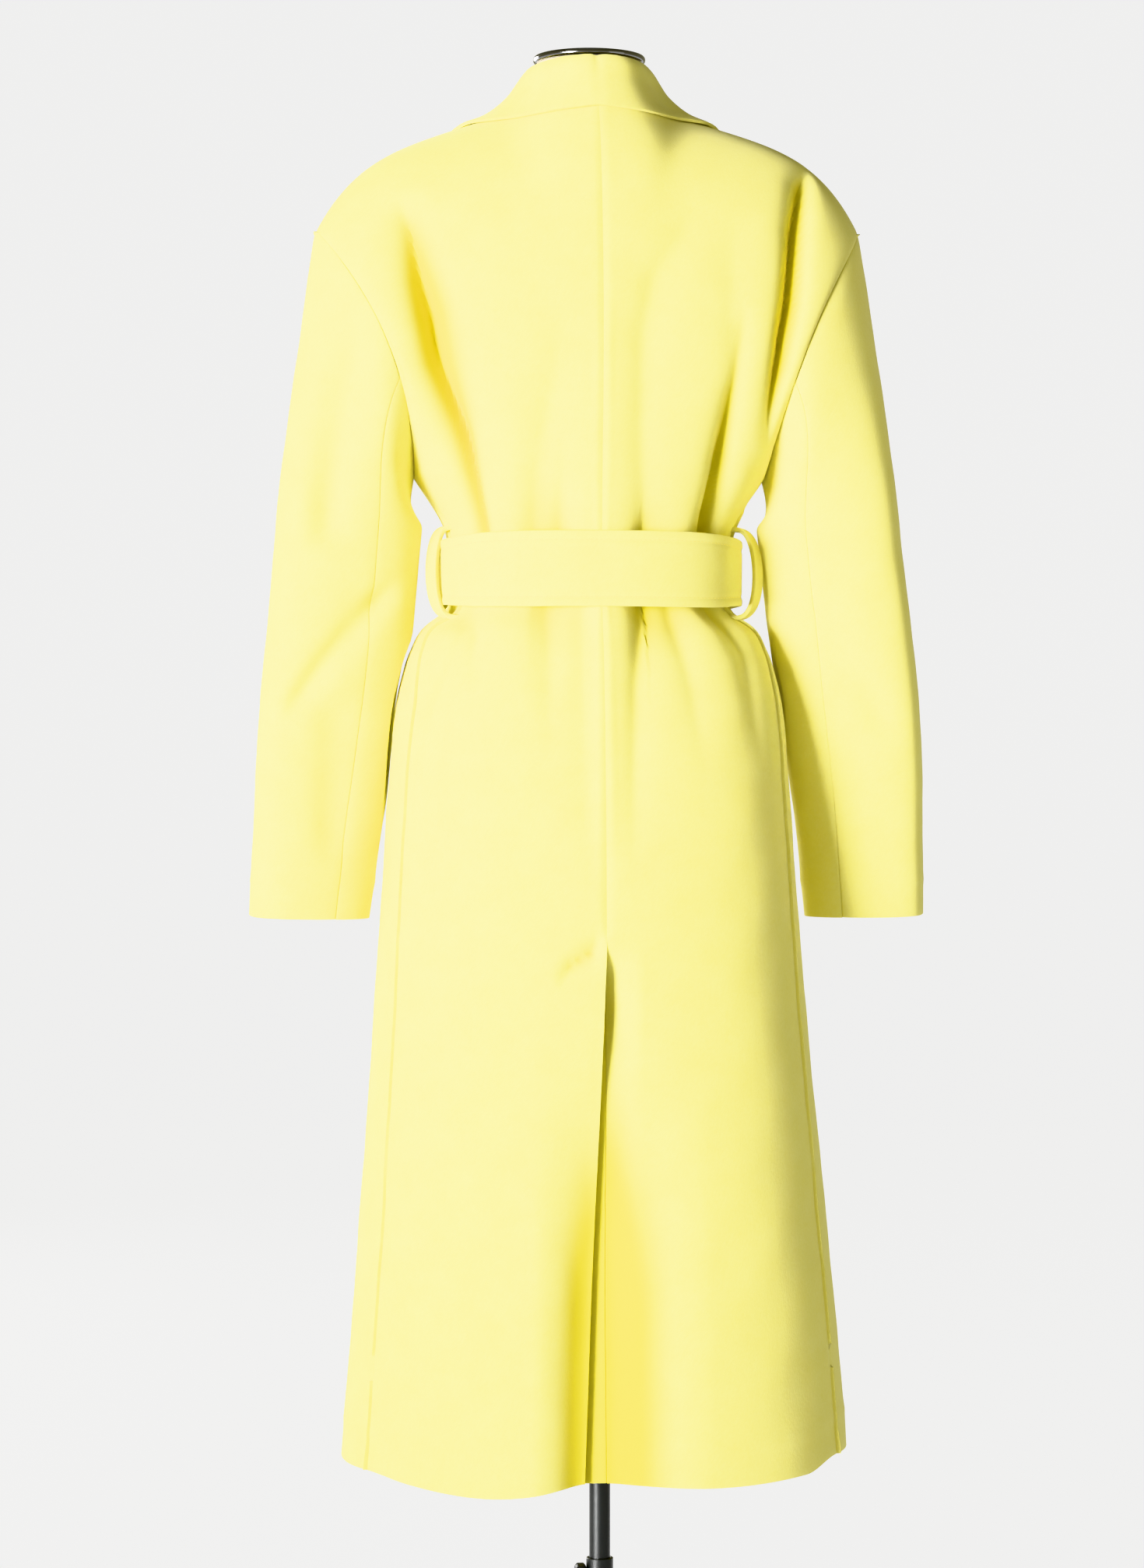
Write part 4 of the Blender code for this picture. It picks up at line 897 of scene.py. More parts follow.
def smooth_mesh(name: str, builder: BMesh) -> Mesh:
    """A smooth mesh of what a builder holds.

    Args:
        name: The mesh's name.
        builder: The builder, which is freed.

    Returns:
        The new mesh.
    """
    mesh = bpy.data.meshes.new(name)
    builder.to_mesh(mesh)
    builder.free()
    mesh.polygons.foreach_set("use_smooth", np.ones(len(mesh.polygons), bool))
    return mesh


def round_edges(made: Object, width: float, segments: int, angle_deg: float) -> None:
    """Rounds a piece's edges.

    Args:
        made: The piece.
        width: How far they are rounded.
        segments: Steps of the rounding.
        angle_deg: The angle from which an edge counts.
    """
    bevel = made.modifiers.new("rounded edge", "BEVEL")
    bevel.width = width
    bevel.segments = segments
    bevel.limit_method = "ANGLE"
    bevel.angle_limit = math.radians(angle_deg)


def spun(profile: list[tuple[float, float]], steps: int, merge: float) -> BMesh:
    """A profile turned once about Z.

    Args:
        profile: Points of radius and height.
        steps: Steps in a full turn.
        merge: How near points are joined.

    Returns:
        The builder that holds it.
    """
    builder = bmesh.new()
    verts = [builder.verts.new((radius, 0.0, height)) for radius, height in profile]
    geometry = verts + [builder.edges.new(pair) for pair in zip(verts, verts[1:])]
    bmesh.ops.spin(
        builder, geom=geometry, axis=(0, 0, 1), cent=(0, 0, 0), steps=steps, angle=2 * math.pi, use_merge=True
    )
    bmesh.ops.remove_doubles(builder, verts=builder.verts[:], dist=merge)
    return builder


SECTIONS = (
    Section(0.352, 0.2135, 0.168, 0.166, 2.15, 66),
    Section(0.600, 0.1950, 0.150, 0.148, 2.15, 66),
    Section(0.800, 0.1815, 0.138, 0.134, 2.15, 67),
    Section(0.935, 0.1725, 0.130, 0.124, 2.15, 68),
    Section(1.020, 0.1630, 0.119, 0.116, 2.15, 70),
    Section(1.045, 0.1555, 0.114, 0.113, 2.15, 72),
    Section(1.066, 0.1430, 0.107, 0.110, 2.20, 75),
    Section(1.080, 0.1258, 0.1026, 0.108, 2.20, 77),
    Section(1.112, 0.1215, 0.1022, 0.107, 2.20, 79),
    Section(1.152, 0.1255, 0.1026, 0.112, 2.20, 83),
    Section(1.195, 0.1520, 0.105, 0.128, 2.20, 90),
)
BACK_PROFILE = (
    Profile(1.195, 0.105),
    Profile(1.280, 0.113),
    Profile(1.360, 0.112),
    Profile(1.430, 0.102),
    Profile(1.478, 0.089),
    Profile(1.514, 0.071),
)
FRONT_PROFILE = (
    Profile(1.195, 0.128),
    Profile(1.270, 0.140),
    Profile(1.340, 0.134),
    Profile(1.420, 0.112),
    Profile(1.510, 0.070),
)
SHOULDER_POINTS = {LEFT: Guide(0.2355, -0.005, 1.404), RIGHT: Guide(0.2330, -0.005, 1.408)}
ARMHOLE_GUIDES = (Guide(0.178, 0.078, 1.300), Guide(0.152, 0.000, 1.195), Guide(0.160, -0.074, 1.305))
HEAD_WAYS = (
    Guide(0.20, 0.00, -0.98),
    Guide(0.45, 0.05, -0.89),
    Guide(0.20, 0.00, -0.98),
    Guide(0.45, -0.02, -0.89),
)
BACK_TROUGHS = (
    Trough(
        LEFT, 0.020, 0.011, 0.002,
        ((0.169, 1.428, 0.000), (0.164, 1.407, 0.016), (0.157, 1.358, 0.030), (0.150, 1.325, 0.036),
         (0.141, 1.280, 0.034), (0.123, 1.222, 0.018), (0.110, 1.170, 0.006), (0.104, 1.140, 0.003),
         (0.103, 1.100, 0.002)),
    ),
    Trough(
        LEFT, 0.007, 0.004, 0.0012,
        ((0.141, 1.280, 0.000), (0.123, 1.222, 0.011), (0.110, 1.170, 0.013), (0.104, 1.140, 0.012),
         (0.103, 1.100, 0.005)),
    ),
    Trough(
        LEFT, 0.020, 0.014, 0.008,
        ((0.034, 1.330, 0.000), (0.041, 1.268, 0.005), (0.055, 1.195, 0.010), (0.061, 1.145, 0.015),
         (0.061, 1.100, 0.010)),
    ),
    Trough(
        LEFT, 0.012, 0.009, 0.004,
        ((0.031, 1.215, 0.000), (0.036, 1.165, 0.006), (0.037, 1.142, 0.009), (0.037, 1.100, 0.006)),
    ),
    Trough(
        LEFT, 0.012, 0.010, 0.003,
        ((0.112, 1.095, 0.004), (0.119, 1.072, 0.008), (0.146, 1.000, 0.008), (0.152, 0.940, 0.000)),
    ),
    Trough(LEFT, 0.009, 0.008, 0.004, ((0.113, 1.095, 0.002), (0.110, 1.058, 0.006), (0.107, 1.010, 0.0))),
    Trough(LEFT, 0.015, 0.011, 0.005, ((0.052, 1.095, 0.011), (0.047, 1.060, 0.009), (0.046, 0.950, 0.0))),
    Trough(
        LEFT, 0.010, 0.016, 0.006,
        ((0.017, 1.095, 0.007), (0.018, 1.000, 0.006), (0.016, 0.900, 0.003), (0.014, 0.830, 0.000)),
    ),
    Trough(LEFT, 0.005, 0.005, 0.002, ((0.001, 0.797, 0.0115), (0.029, 0.780, 0.0100), (0.042, 0.764, 0.0))),
    Trough(
        RIGHT, 0.011, 0.004, 0.0015,
        ((0.187, 1.466, 0.000), (0.182, 1.445, 0.015), (0.175, 1.404, 0.024), (0.168, 1.339, 0.026),
         (0.162, 1.306, 0.025), (0.158, 1.280, 0.022), (0.152, 1.248, 0.012), (0.146, 1.215, 0.000)),
    ),
    Trough(
        RIGHT, 0.010, 0.006, 0.002,
        ((0.124, 1.340, 0.000), (0.121, 1.306, 0.005), (0.114, 1.254, 0.013), (0.110, 1.209, 0.019),
         (0.103, 1.157, 0.019), (0.101, 1.140, 0.017), (0.100, 1.100, 0.006)),
    ),
    Trough(
        RIGHT, 0.012, 0.026, 0.008,
        ((0.085, 1.425, 0.000), (0.072, 1.395, 0.005), (0.046, 1.358, 0.008), (0.036, 1.306, 0.009),
         (0.036, 1.222, 0.008), (0.039, 1.165, 0.010), (0.040, 1.144, 0.014), (0.040, 1.100, 0.010)),
    ),
    Trough(
        RIGHT, 0.014, 0.020, 0.008,
        ((0.118, 1.420, 0.000), (0.114, 1.360, 0.005), (0.113, 1.320, 0.005), (0.113, 1.280, 0.000)),
    ),
    Trough(
        RIGHT, 0.011, 0.018, 0.005,
        ((0.036, 1.095, 0.014), (0.036, 1.072, 0.014), (0.029, 1.015, 0.011), (0.026, 0.938, 0.006),
         (0.024, 0.850, 0.000)),
    ),
    Trough(
        RIGHT, 0.014, 0.014, 0.005,
        ((0.066, 1.095, 0.010), (0.068, 1.066, 0.010), (0.078, 1.015, 0.006), (0.088, 0.930, 0.000)),
    ),
    Trough(
        RIGHT, 0.012, 0.010, 0.003,
        ((0.098, 1.095, 0.012), (0.107, 1.082, 0.012), (0.128, 1.045, 0.008), (0.139, 0.950, 0.000)),
    ),
)
FRONT_FOLDS = (
    RingFold(LEFT, 1.290, 1.100, 58, 52, 8, 0.003, 0.011),
    RingFold(LEFT, 1.095, 0.930, 55, 62, 9, 0.008, 0.002),
    RingFold(LEFT, 1.095, 0.880, 36, 40, 8, 0.006, 0.002),
    RingFold(RIGHT, 1.300, 1.100, 60, 50, 8, 0.003, 0.012),
    RingFold(RIGHT, 1.230, 1.100, 26, 30, 7, 0.002, 0.007),
    RingFold(RIGHT, 1.095, 0.920, 52, 60, 9, 0.009, 0.002),
    RingFold(RIGHT, 1.095, 0.860, 30, 36, 8, 0.007, 0.002),
)
SLEEVE_SECTIONS = (
    SleeveSection(1.150, 0.2080, 0.004, 0.0621, 0.046, -8),
    SleeveSection(1.060, 0.2145, 0.000, 0.0625, 0.041, -10),
    SleeveSection(0.980, 0.2220, -0.014, 0.0608, 0.038, -12),
    SleeveSection(0.900, 0.2300, -0.031, 0.0561, 0.035, -13),
    SleeveSection(0.816, 0.2370, -0.047, 0.0524, 0.033, -13),
)
SLEEVE_FOLDS = (
    RingFold(LEFT, 1.340, 1.120, 60, 66, 17, 0.009, 0.010),
    RingFold(LEFT, 1.105, 0.985, 122, 42, 13, 0.008, 0.008),
    RingFold(LEFT, 1.010, 0.860, 84, 96, 15, 0.004, 0.004),
    RingFold(RIGHT, 1.090, 0.960, 110, 50, 18, 0.004, 0.004),
)


def ring_fold_depth(folds: tuple[RingFold, ...], side: Side, z: Array, degrees: Array, fade: float) -> Array:
    """Depth of all troughs of a front or a sleeve.

    Args:
        folds: The table of troughs.
        side: Whose troughs count.
        z: Heights.
        degrees: Angles round the front or the sleeve.
        fade: The share of a trough over which it fades at each end.

    Returns:
        The depth at each place.
    """
    depth = np.zeros_like(z)
    for fold in folds:
        if fold.side is not side:
            continue
        run = (fold.top - z) / (fold.top - fold.bottom)
        share = np.clip(run, 0.0, 1.0)
        window = ramp(0.0, fade, run) * ramp(0.0, fade, 1 - run)
        path = mix(fold.deg_top, fold.deg_bottom, share)
        size = mix(fold.depth_top, fold.depth_bottom, share)
        depth += size * window * hump(degrees - path, fold.width_deg)
    return depth


def loop_through(guides: tuple[Guide, ...], angle: Array) -> Array:
    """A closed loop pinched at the underarm.

    Args:
        guides: Its top, back, under and front points.
        angle: Places round it, 0 at the top and a quarter turn at the back.

    Returns:
        Points of the loop.
    """
    top, back, under, front = (np.array(guide) for guide in guides)
    middle = (top + under) / 2
    lean = (back + front) / 2 - middle
    turn = np.cos(angle)[:, None]
    swing = np.sin(angle)[:, None]
    pinched = np.where(turn >= 0, swing, swing * np.abs(swing))
    return middle + turn * (top - under) / 2 + pinched * (back - front) / 2 + swing**2 * lean


def section_at(heights: Array) -> Section:
    """The body section at each height, as one array per table column."""
    table = np.array(SECTIONS)
    return Section(*smooth_curve(table[:, 0], table, np.asarray(heights, float)).T)


def profile_at(profile: tuple[Profile, ...], heights: Array) -> Array:
    """Depth of a middle line at each height."""
    table = np.array(profile)
    return smooth_curve(table[:, 0], table[:, 1], np.asarray(heights, float))


@dataclass
class CoatBody:
    """Backs, fronts and sleeves of the coat, with the vent's underlap."""

    maker: ClothMaker
    hem: float = 0.352
    vent_top: float = 0.800
    break_point: float = 1.152
    underarm: float = 1.195
    nape: float = 1.514
    zones: tuple[RowZone, ...] = (
        RowZone(0.352, 0.800, 84),
        RowZone(0.800, 1.020, 42),
        RowZone(1.020, 1.080, 16),
        RowZone(1.080, 1.195, 28),
    )
    cell: int = 6
    armhole_rows: int = 12
    neck_columns: int = 4
    shoulder_columns: int = 11
    neck_half_width: float = 0.066
    neck_side_height: float = 1.511
    shoulder_slope: Pair = Pair(0.056, 0.047)
    shoulder_drop_power: float = 5.4
    shoulder_start: float = 0.45
    shoulder_power: float = 1.7
    row_bow_power: float = 1.5
    row_lift_round: float = 0.85
    neck_curve_power: float = 0.8
    wrap_past_middle: float = 0.085
    under_wrap_inset: float = 0.0105
    under_wrap_inset_skirt: float = 0.0050
    wrap_blend_deg: tuple[float, float] = (3.0, 28.0)
    wrap_hem_deg: tuple[float, float] = (5.0, 80.0)
    belt_low: float = 1.080
    vent_spread: float = 0.019
    vent_step: float = 0.0058
    vent_step_reach: float = 0.030
    vent_gape: float = 0.0075
    vent_gape_height: float = 0.740
    vent_gape_reach: float = 0.045
    vent_curl: float = 0.026
    vent_curl_left: float = 0.060
    vent_curl_right: float = 0.085
    vent_curl_top: float = 0.760
    vent_curl_full: float = 0.480
    vent_ramp: float = 0.026
    # Painted shade laid on the backs as they sink beside the vent.
    vent_shade: float = 1.0
    vent_seam_fade: tuple[float, float] = (-0.004, 0.012)
    vent_edge_fade: tuple[float, float] = (-0.004, 0.004)
    vent_spread_power: int = 3
    underlap_width: float = 0.046
    underlap_top: float = 0.775
    underlap_columns: int = 16
    # Painted shade over the whole underlap, which lies in the vent's shadow.
    underlap_crease: float = 0.85
    hem_drop: Pair = Pair(0.011, 0.005)
    hem_drop_power: float = 1.4
    hem_lift: Pair = Pair(0.002, 0.009)
    hem_lift_start: float = 0.165
    hem_lift_full: float = 0.195
    hem_reach: float = 0.300
    hem_fold: float = 0.032
    hem_swell: float = 0.0012
    hem_print: float = 0.0005
    hem_print_width: float = 0.005
    flare_right: float = 0.042
    flare_top: float = 0.880
    flare_reach: float = 0.440
    fold_fade: float = 0.16
    seam_hold: float = 1.0
    top_hold: float = 1.8
    armhole_hold: tuple[float, float] = (1.116, 1.174)
    side_join: float = 2.0
    side_wrap: float = 0.020
    middle_dip: float = 0.0017
    seam_dip: float = 0.0004
    seam_width: float = 0.0032
    # Painted shade: the trough width at which it follows fold depth one to one, narrower troughs darker, and
    # the fold depths where it starts and is full.
    painted_shade_width: float = 0.010
    painted_shade_start: float = 0.006
    painted_shade_full: float = 0.021
    neck_soft: float = 0.013
    neck_soft_from: float = 0.93
    drift_size: float = 0.0009
    sleeve_drift_reach: float = 0.03
    head_rings: int = 6
    sleeve_rings: int = 9
    head_pull: float = 0.130
    head_arrive: float = 0.8
    hind_seam_deg: float = 105.0
    fore_seam_deg: float = 255.0
    sleeve_body_gap: float = 0.0035
    sleeve_turn_deg: Pair = Pair(0.0, 4.0)
    sleeve_edge_power: float = 0.92
    sleeve_face_power: float = 0.72
    sleeve_swing: Pair = Pair(0.0025, 0.0115)
    sleeve_swing_top: float = 1.200
    sleeve_swing_reach: float = 0.300
    ring_lean: float = 0.30
    axis_step: float = 0.010
    underarm_ease: float = 0.030

    def __post_init__(self) -> None:
        """Works out the grids of all panels."""
        self.outer: dict[str, Array] = {}
        self.normal: dict[str, Array] = {}
        # Painted shade share of each panel's points, which darkens its folds.
        self.crease: dict[str, Array] = {}
        rows = [np.linspace(zone.low, zone.high, zone.rows, endpoint=False) for zone in self.zones]
        self.heights = np.concatenate(rows)
        self.section = Section(*(column[:, None] for column in section_at(self.heights)))
        self.shares = np.linspace(0.0, 1.0, self.armhole_rows * self.cell + 1)
        self.first_upper = len(self.heights)
        self.half_round = self.armhole_rows * self.cell
        self.neck_column = self.neck_columns * self.cell
        self.even = np.linspace(0.0, 1.0, self.shoulder_columns * self.cell + 1)
        for side in SIDES:
            self.shape_panels(side)
            self.shape_sleeve(side)
        self.close_seams()
        self.find_normals()
        self.join_seams()

    def armhole(self, side: Side, angle: Array) -> Array:
        """Points of an armhole: 0 at the shoulder, a quarter turn at the back."""
        return loop_through((SHOULDER_POINTS[side],) + ARMHOLE_GUIDES, angle)

    def shoulder_height(self, side: Side, x: Array) -> Array:
        """Height of the shoulder seam.

        Args:
            side: The seam's side.
            x: Distances from the middle.

        Returns:
            The height at each distance.
        """
        tip = SHOULDER_POINTS[side]
        slope = self.shoulder_slope.of(side)
        share = np.clip((x - self.neck_half_width) / (tip.x - self.neck_half_width), 0, None)
        drop = self.neck_side_height - slope - tip.z
        return self.neck_side_height - slope * share - drop * share**self.shoulder_drop_power

    def shoulder_blend(self, shares: Array) -> Array:
        """How far each upper row has turned from the round body into the shoulder seam's line."""
        start = self.shoulder_start
        return np.clip((shares - start) / (1 - start), 0, 1) ** self.shoulder_power

    def upper_lift(self, shares: Array) -> Array:
        """How far up the middle of the body each upper row lies."""
        return self.row_lift_round * np.sin(shares * math.pi / 2) + (1 - self.row_lift_round) * shares

    def column_angles(self, side: Side) -> tuple[Array, Array]:
        """Column angles of a side's panels.

        Args:
            side: The panels' side.

        Returns:
            Those of the back, and those past the neck that serve the front too.
        """
        neck = math.asin(self.neck_half_width / SHOULDER_POINTS[side].x)
        inner = np.linspace(0.0, neck, self.neck_column, endpoint=False)
        outer = np.linspace(neck, math.pi / 2, len(self.even))
        return np.concatenate([inner, outer]), outer

    def back_lower(self, side: Side) -> Array:
        """Lower back, unmirrored.

        Args:
            side: The back's side.

        Returns:
            Rows of points from the centre back to the side seam.
        """
        angles, _ = self.column_angles(side)
        section = self.section
        power = section.squareness
        seam = np.sin(np.radians(section.side_seam_deg)) ** (2 / power)
        x = section.half_width * seam * np.sin(angles)[None, :]
        y = section.back * np.clip(1 - (x / section.half_width) ** power, 0, None) ** (1 / power)
        return grid(x, y, self.heights[:, None])

    def back_upper(self, side: Side) -> Array:
        """Upper back, unmirrored.

        Args:
            side: The back's side.

        Returns:
            Rows of points from the underarm level to the neck and shoulder seam.
        """
        angles, _ = self.column_angles(side)
        tip = SHOULDER_POINTS[side]
        across = np.sin(angles)[None, :]
        shares = self.shares[:, None]
        nape_z = mix(self.underarm, self.nape, self.upper_lift(shares))
        nape_y = profile_at(BACK_PROFILE, nape_z[:, 0])[:, None]
        edge = self.armhole(side, math.pi * (1 - shares[:, 0]))[:, None, :]
        power = SECTIONS[-1].squareness
        rounding = np.clip(1 - across**power, 0, None) ** (1 / power)
        round_y = mix(edge[..., 1], nape_y, rounding)
        round_z = mix(nape_z, edge[..., 2], across**self.row_bow_power)
        top_x = tip.x * across
        on_neck = top_x < self.neck_half_width
        neck_share = np.clip(top_x / self.neck_half_width, 0, 1)
        neck_y = BACK_PROFILE[-1].depth * (1 - neck_share**2) ** self.neck_curve_power
        neck_z = mix(self.nape, self.neck_side_height, neck_share**2)
        top_y = np.where(on_neck, neck_y, tip.y * across)
        top_z = np.where(on_neck, neck_z, self.shoulder_height(side, top_x))
        straight_y = mix(nape_y, edge[..., 1], across)
        straight_z = mix(nape_z, edge[..., 2], across)
        bow_y = top_y - mix(top_y[:, :1], top_y[:, -1:], across)
        bow_z = top_z - mix(top_z[:, :1], top_z[:, -1:], across)
        near_top = ramp(self.neck_soft_from, 1.0, shares)
        soft_y = softened(bow_y[0], top_x[0], self.neck_soft)
        soft_z = softened(bow_z[0], top_x[0], self.neck_soft)
        bow_y = bow_y * near_top + soft_y * (1 - near_top)
        bow_z = bow_z * near_top + soft_z * (1 - near_top)
        blend = self.shoulder_blend(shares)
        rise = 1 - (1 - blend) ** 2
        y = round_y * (1 - blend) + (straight_y + bow_y) * blend
        z = round_z * (1 - rise) + (straight_z + bow_z) * rise
        return grid(edge[..., 0] * across, y, z)

    def roll_x(self, heights: Array) -> Array:
        """How far the front edge lies on its own side of the middle."""
        share = np.clip((heights - self.break_point) / (self.neck_side_height - self.break_point), 0, 1)
        return mix(-self.wrap_past_middle, self.neck_half_width, share)

    def front_angles(self, edge_x: Array, side_x: Array, side_angle: Array, power: Array) -> Array:
        """Column angles of a front from its middle, spread from the free edge to the side seam."""
        edge = np.arcsin(signed_power(edge_x / side_x, power / 2))
        return mix(edge, side_angle, self.even[None, :])

    def front_lower(self) -> tuple[Array, Array]:
        """Lower front, unmirrored.

        Returns:
            Its points and their angles from the middle of the front.
        """
        section = self.section
        power = section.squareness
        heights = self.heights[:, None]
        side_angle = math.pi - np.radians(section.side_seam_deg)
        angle = self.front_angles(self.roll_x(heights), section.half_width, side_angle, power)
        x = section.half_width * signed_power(np.sin(angle), 2 / power)
        depth = np.where(np.cos(angle) >= 0, section.front, section.back)
        y = -depth * signed_power(np.cos(angle), 2 / power)
        return grid(x, y, heights), np.degrees(angle)

    def front_upper(self, side: Side) -> tuple[Array, Array]:
        """Upper front, unmirrored.

        Args:
            side: The front's side.

        Returns:
            Its points and their angles from the middle of the front.
        """
        tip = SHOULDER_POINTS[side]
        shares = self.shares[:, None]
        edge = self.armhole(side, math.pi * (1 + shares[:, 0]))[:, None, :]
        roll_z = mix(self.underarm, self.neck_side_height, self.upper_lift(shares))
        power = mix(SECTIONS[-1].squareness, 2.0, shares)
        angle = self.front_angles(self.roll_x(roll_z), edge[..., 0], math.pi / 2, power)
        middle_y = -profile_at(FRONT_PROFILE, roll_z[:, 0])[:, None]
        across = self.even[None, :]
        round_x = edge[..., 0] * signed_power(np.sin(angle), 2 / power)
        rounding = np.clip(np.cos(angle), 0, None) ** (2 / power)
        round_y = mix(edge[..., 1], middle_y, rounding)
        round_z = mix(roll_z, edge[..., 2], across**self.row_bow_power)
        _, seam_angles = self.column_angles(side)
        seam_x = tip.x * np.sin(seam_angles)[None, :]
        seam_share = (seam_x - self.neck_half_width) / (tip.x - self.neck_half_width)
        blend = self.shoulder_blend(shares)
        roll_y = round_y[:, :1] * (1 - blend) + tip.y * self.neck_half_width / tip.x * blend
        straight_y = mix(roll_y, edge[..., 1], seam_share)
        straight_z = mix(roll_z, edge[..., 2], seam_share)
        bow_z = self.shoulder_height(side, seam_x) - mix(self.neck_side_height, tip.z, seam_share)
        rise = 1 - (1 - blend) ** 2
        y = round_y * (1 - blend) + straight_y * blend
        z = round_z * (1 - rise) + (straight_z + bow_z) * rise
        return grid(round_x, y, z), np.degrees(angle)

    def hold(self, points: Array) -> Array:
        """A window over a panel that holds its inner edge, armhole and shoulder seam in place.

        Args:
            points: The panel's points.

        Returns:
            How far each point may move, from 0 to 1.
        """
        columns = points.shape[1]
        place = np.arange(columns)[None, :] / self.cell
        share = np.concatenate([np.zeros(self.first_upper), self.shares])[:, None]
        inner = ramp(0.0, self.seam_hold, place)
        outer = ramp(0.0, self.seam_hold, (columns - 1) / self.cell - place)
        above = ramp(*self.armhole_hold, points[..., 2])
        top = ramp(0.0, self.top_hold * self.seam_hold, self.armhole_rows * (1 - share))
        return inner * (1 - above + above * outer) * top

    def seams(self, points: Array, inner: bool) -> Array:
        """Depth of the dips along a panel's seams.

        Args:
            points: The panel's points.
            inner: Whether its first column is a seam above the vent.

        Returns:
            The depth at each point.
        """
        across = run_lengths(points, 1)
        upward = run_lengths(points, 0)
        dip = hump(across[:, -1:] - across, self.seam_width)
        top = hump(upward[-1:] - upward, self.seam_width)
        top[:, : self.neck_column if inner else 0] = 0.0
        dip = self.seam_dip * np.maximum(dip, top)
        if inner:
            above = self.above_vent(self.vent_seam_fade, points[..., 2])
            dip = dip + self.middle_dip * hump(across, self.seam_width) * above
        return dip

    def above_vent(self, fade: tuple[float, float], heights: Array) -> Array:
        """One above the vent and zero beside it."""
        return ramp(self.vent_top + fade[0], self.vent_top + fade[1], heights)

    def near_hem(self, points: Array) -> Array:
        """One at the hem, fading out over the lower skirt."""
        return 1 - ramp(0.0, self.hem_reach, points[..., 2] - self.hem)

    def hem_ridge(self, points: Array) -> Array:
        """The faint ridge that the turned-up hem prints through the cloth."""
        return self.hem_print * hump(points[..., 2] - self.hem - self.hem_fold, self.hem_print_width)

    def flared(self, points: Array) -> Array:
        """The skirt's right half let out towards the hem, as it hangs.

        Args:
            points: A panel's points.

        Returns:
            The moved points.
        """
        wider = self.flare_right * ramp(0.0, self.flare_reach, self.flare_top - points[..., 2])
        moved = points.copy()
        moved[..., 0] *= np.where(points[..., 0] < 0, 1 + wider, 1.0)
        return moved

    def back_depth(self, side: Side, points: Array) -> tuple[Array, Array]:
        """Depth of all troughs of one back panel.

        Args:
            side: The back's side.
            points: Its points, unmirrored.

        Returns:
            The depth at each point, and the depth that sets painted shade: the same with the narrow troughs
            counted for more.
        """
        depth = np.zeros(points.shape[:2])
        shade = np.zeros(points.shape[:2])
        for trough in BACK_TROUGHS:
            if trough.side is side:
                here = path_depth(trough, points[..., 0], points[..., 2])
                depth += here
                # Painted shade: narrow troughs are painted darker than their depth alone gives.
                shade += here * math.sqrt(self.painted_shade_width / min(trough.inner_width, trough.outer_width))
        return depth, shade

    def vent_depth(self, side: Side, x: Array, z: Array) -> Array:
        """How far a back sinks beside the vent: both edges curl in, and the right one lies under the left.

        Args:
            side: The back's side.
            x: Distances out from the middle.
            z: Heights.

        Returns:
            The depth at each place.
        """
        curl = self.vent_curl * ramp(self.vent_curl_top, self.vent_curl_full, z)
        if side is LEFT:
            return curl * (1 - ramp(0.0, self.vent_curl_left, x))
        gape = self.vent_gape * hump(z - self.vent_gape_height, self.vent_gape_reach)
        step = (self.vent_step + gape) * ramp(0.0, self.vent_ramp, self.vent_top - z)
        curled = curl * (1 - ramp(0.0, self.vent_curl_right, x))
        return curled + step * (1 - ramp(0.0, self.vent_step_reach, x))

    def back_panel(self, side: Side) -> tuple[Array, Array]:
        """Shapes one back panel.

        Args:
            side: The back's side.

        Returns:
            Its outer points, and the fold depth that sets each one's painted shade, more beside the vent.
        """
        points = np.concatenate([self.back_lower(side), self.back_upper(side)])
        normal = facing(points, from_axis(points))
        hold = self.hold(points)
        folds, shade = (part * hold for part in self.back_depth(side, points))
        depth = folds + self.seams(points, True) + drift(points, self.drift_size) * hold
        depth = depth - self.hem_ridge(points)
        sunk = self.vent_depth(side, points[..., 0], points[..., 2])
        depth = depth + sunk
        # Painted shade: the cloth beside the vent is painted darker as it sinks.
        shade = shade + sunk * self.vent_shade
        moved = points - normal * depth[..., None]
        across = np.sin(self.column_angles(side)[0])
        if side is LEFT:
            below = (self.vent_top - self.heights) / (self.vent_top - self.hem)
            spread = self.vent_spread * np.clip(below, 0, 1)
            inward = (1 - across)[None, :] ** self.vent_spread_power
            moved[: self.first_upper, :, 0] += spread[:, None] * inward
        bow = np.clip(np.sin(math.pi * across), 0, None)[None, :] ** self.hem_drop_power
        sag = self.hem_drop.of(side) * bow
        lift = self.hem_lift.of(side) * ramp(self.hem_lift_start, self.hem_lift_full, points[..., 0])
        moved[..., 2] += (lift - sag) * self.near_hem(points)
        moved[..., 0] *= side.value
        return self.flared(moved), shade

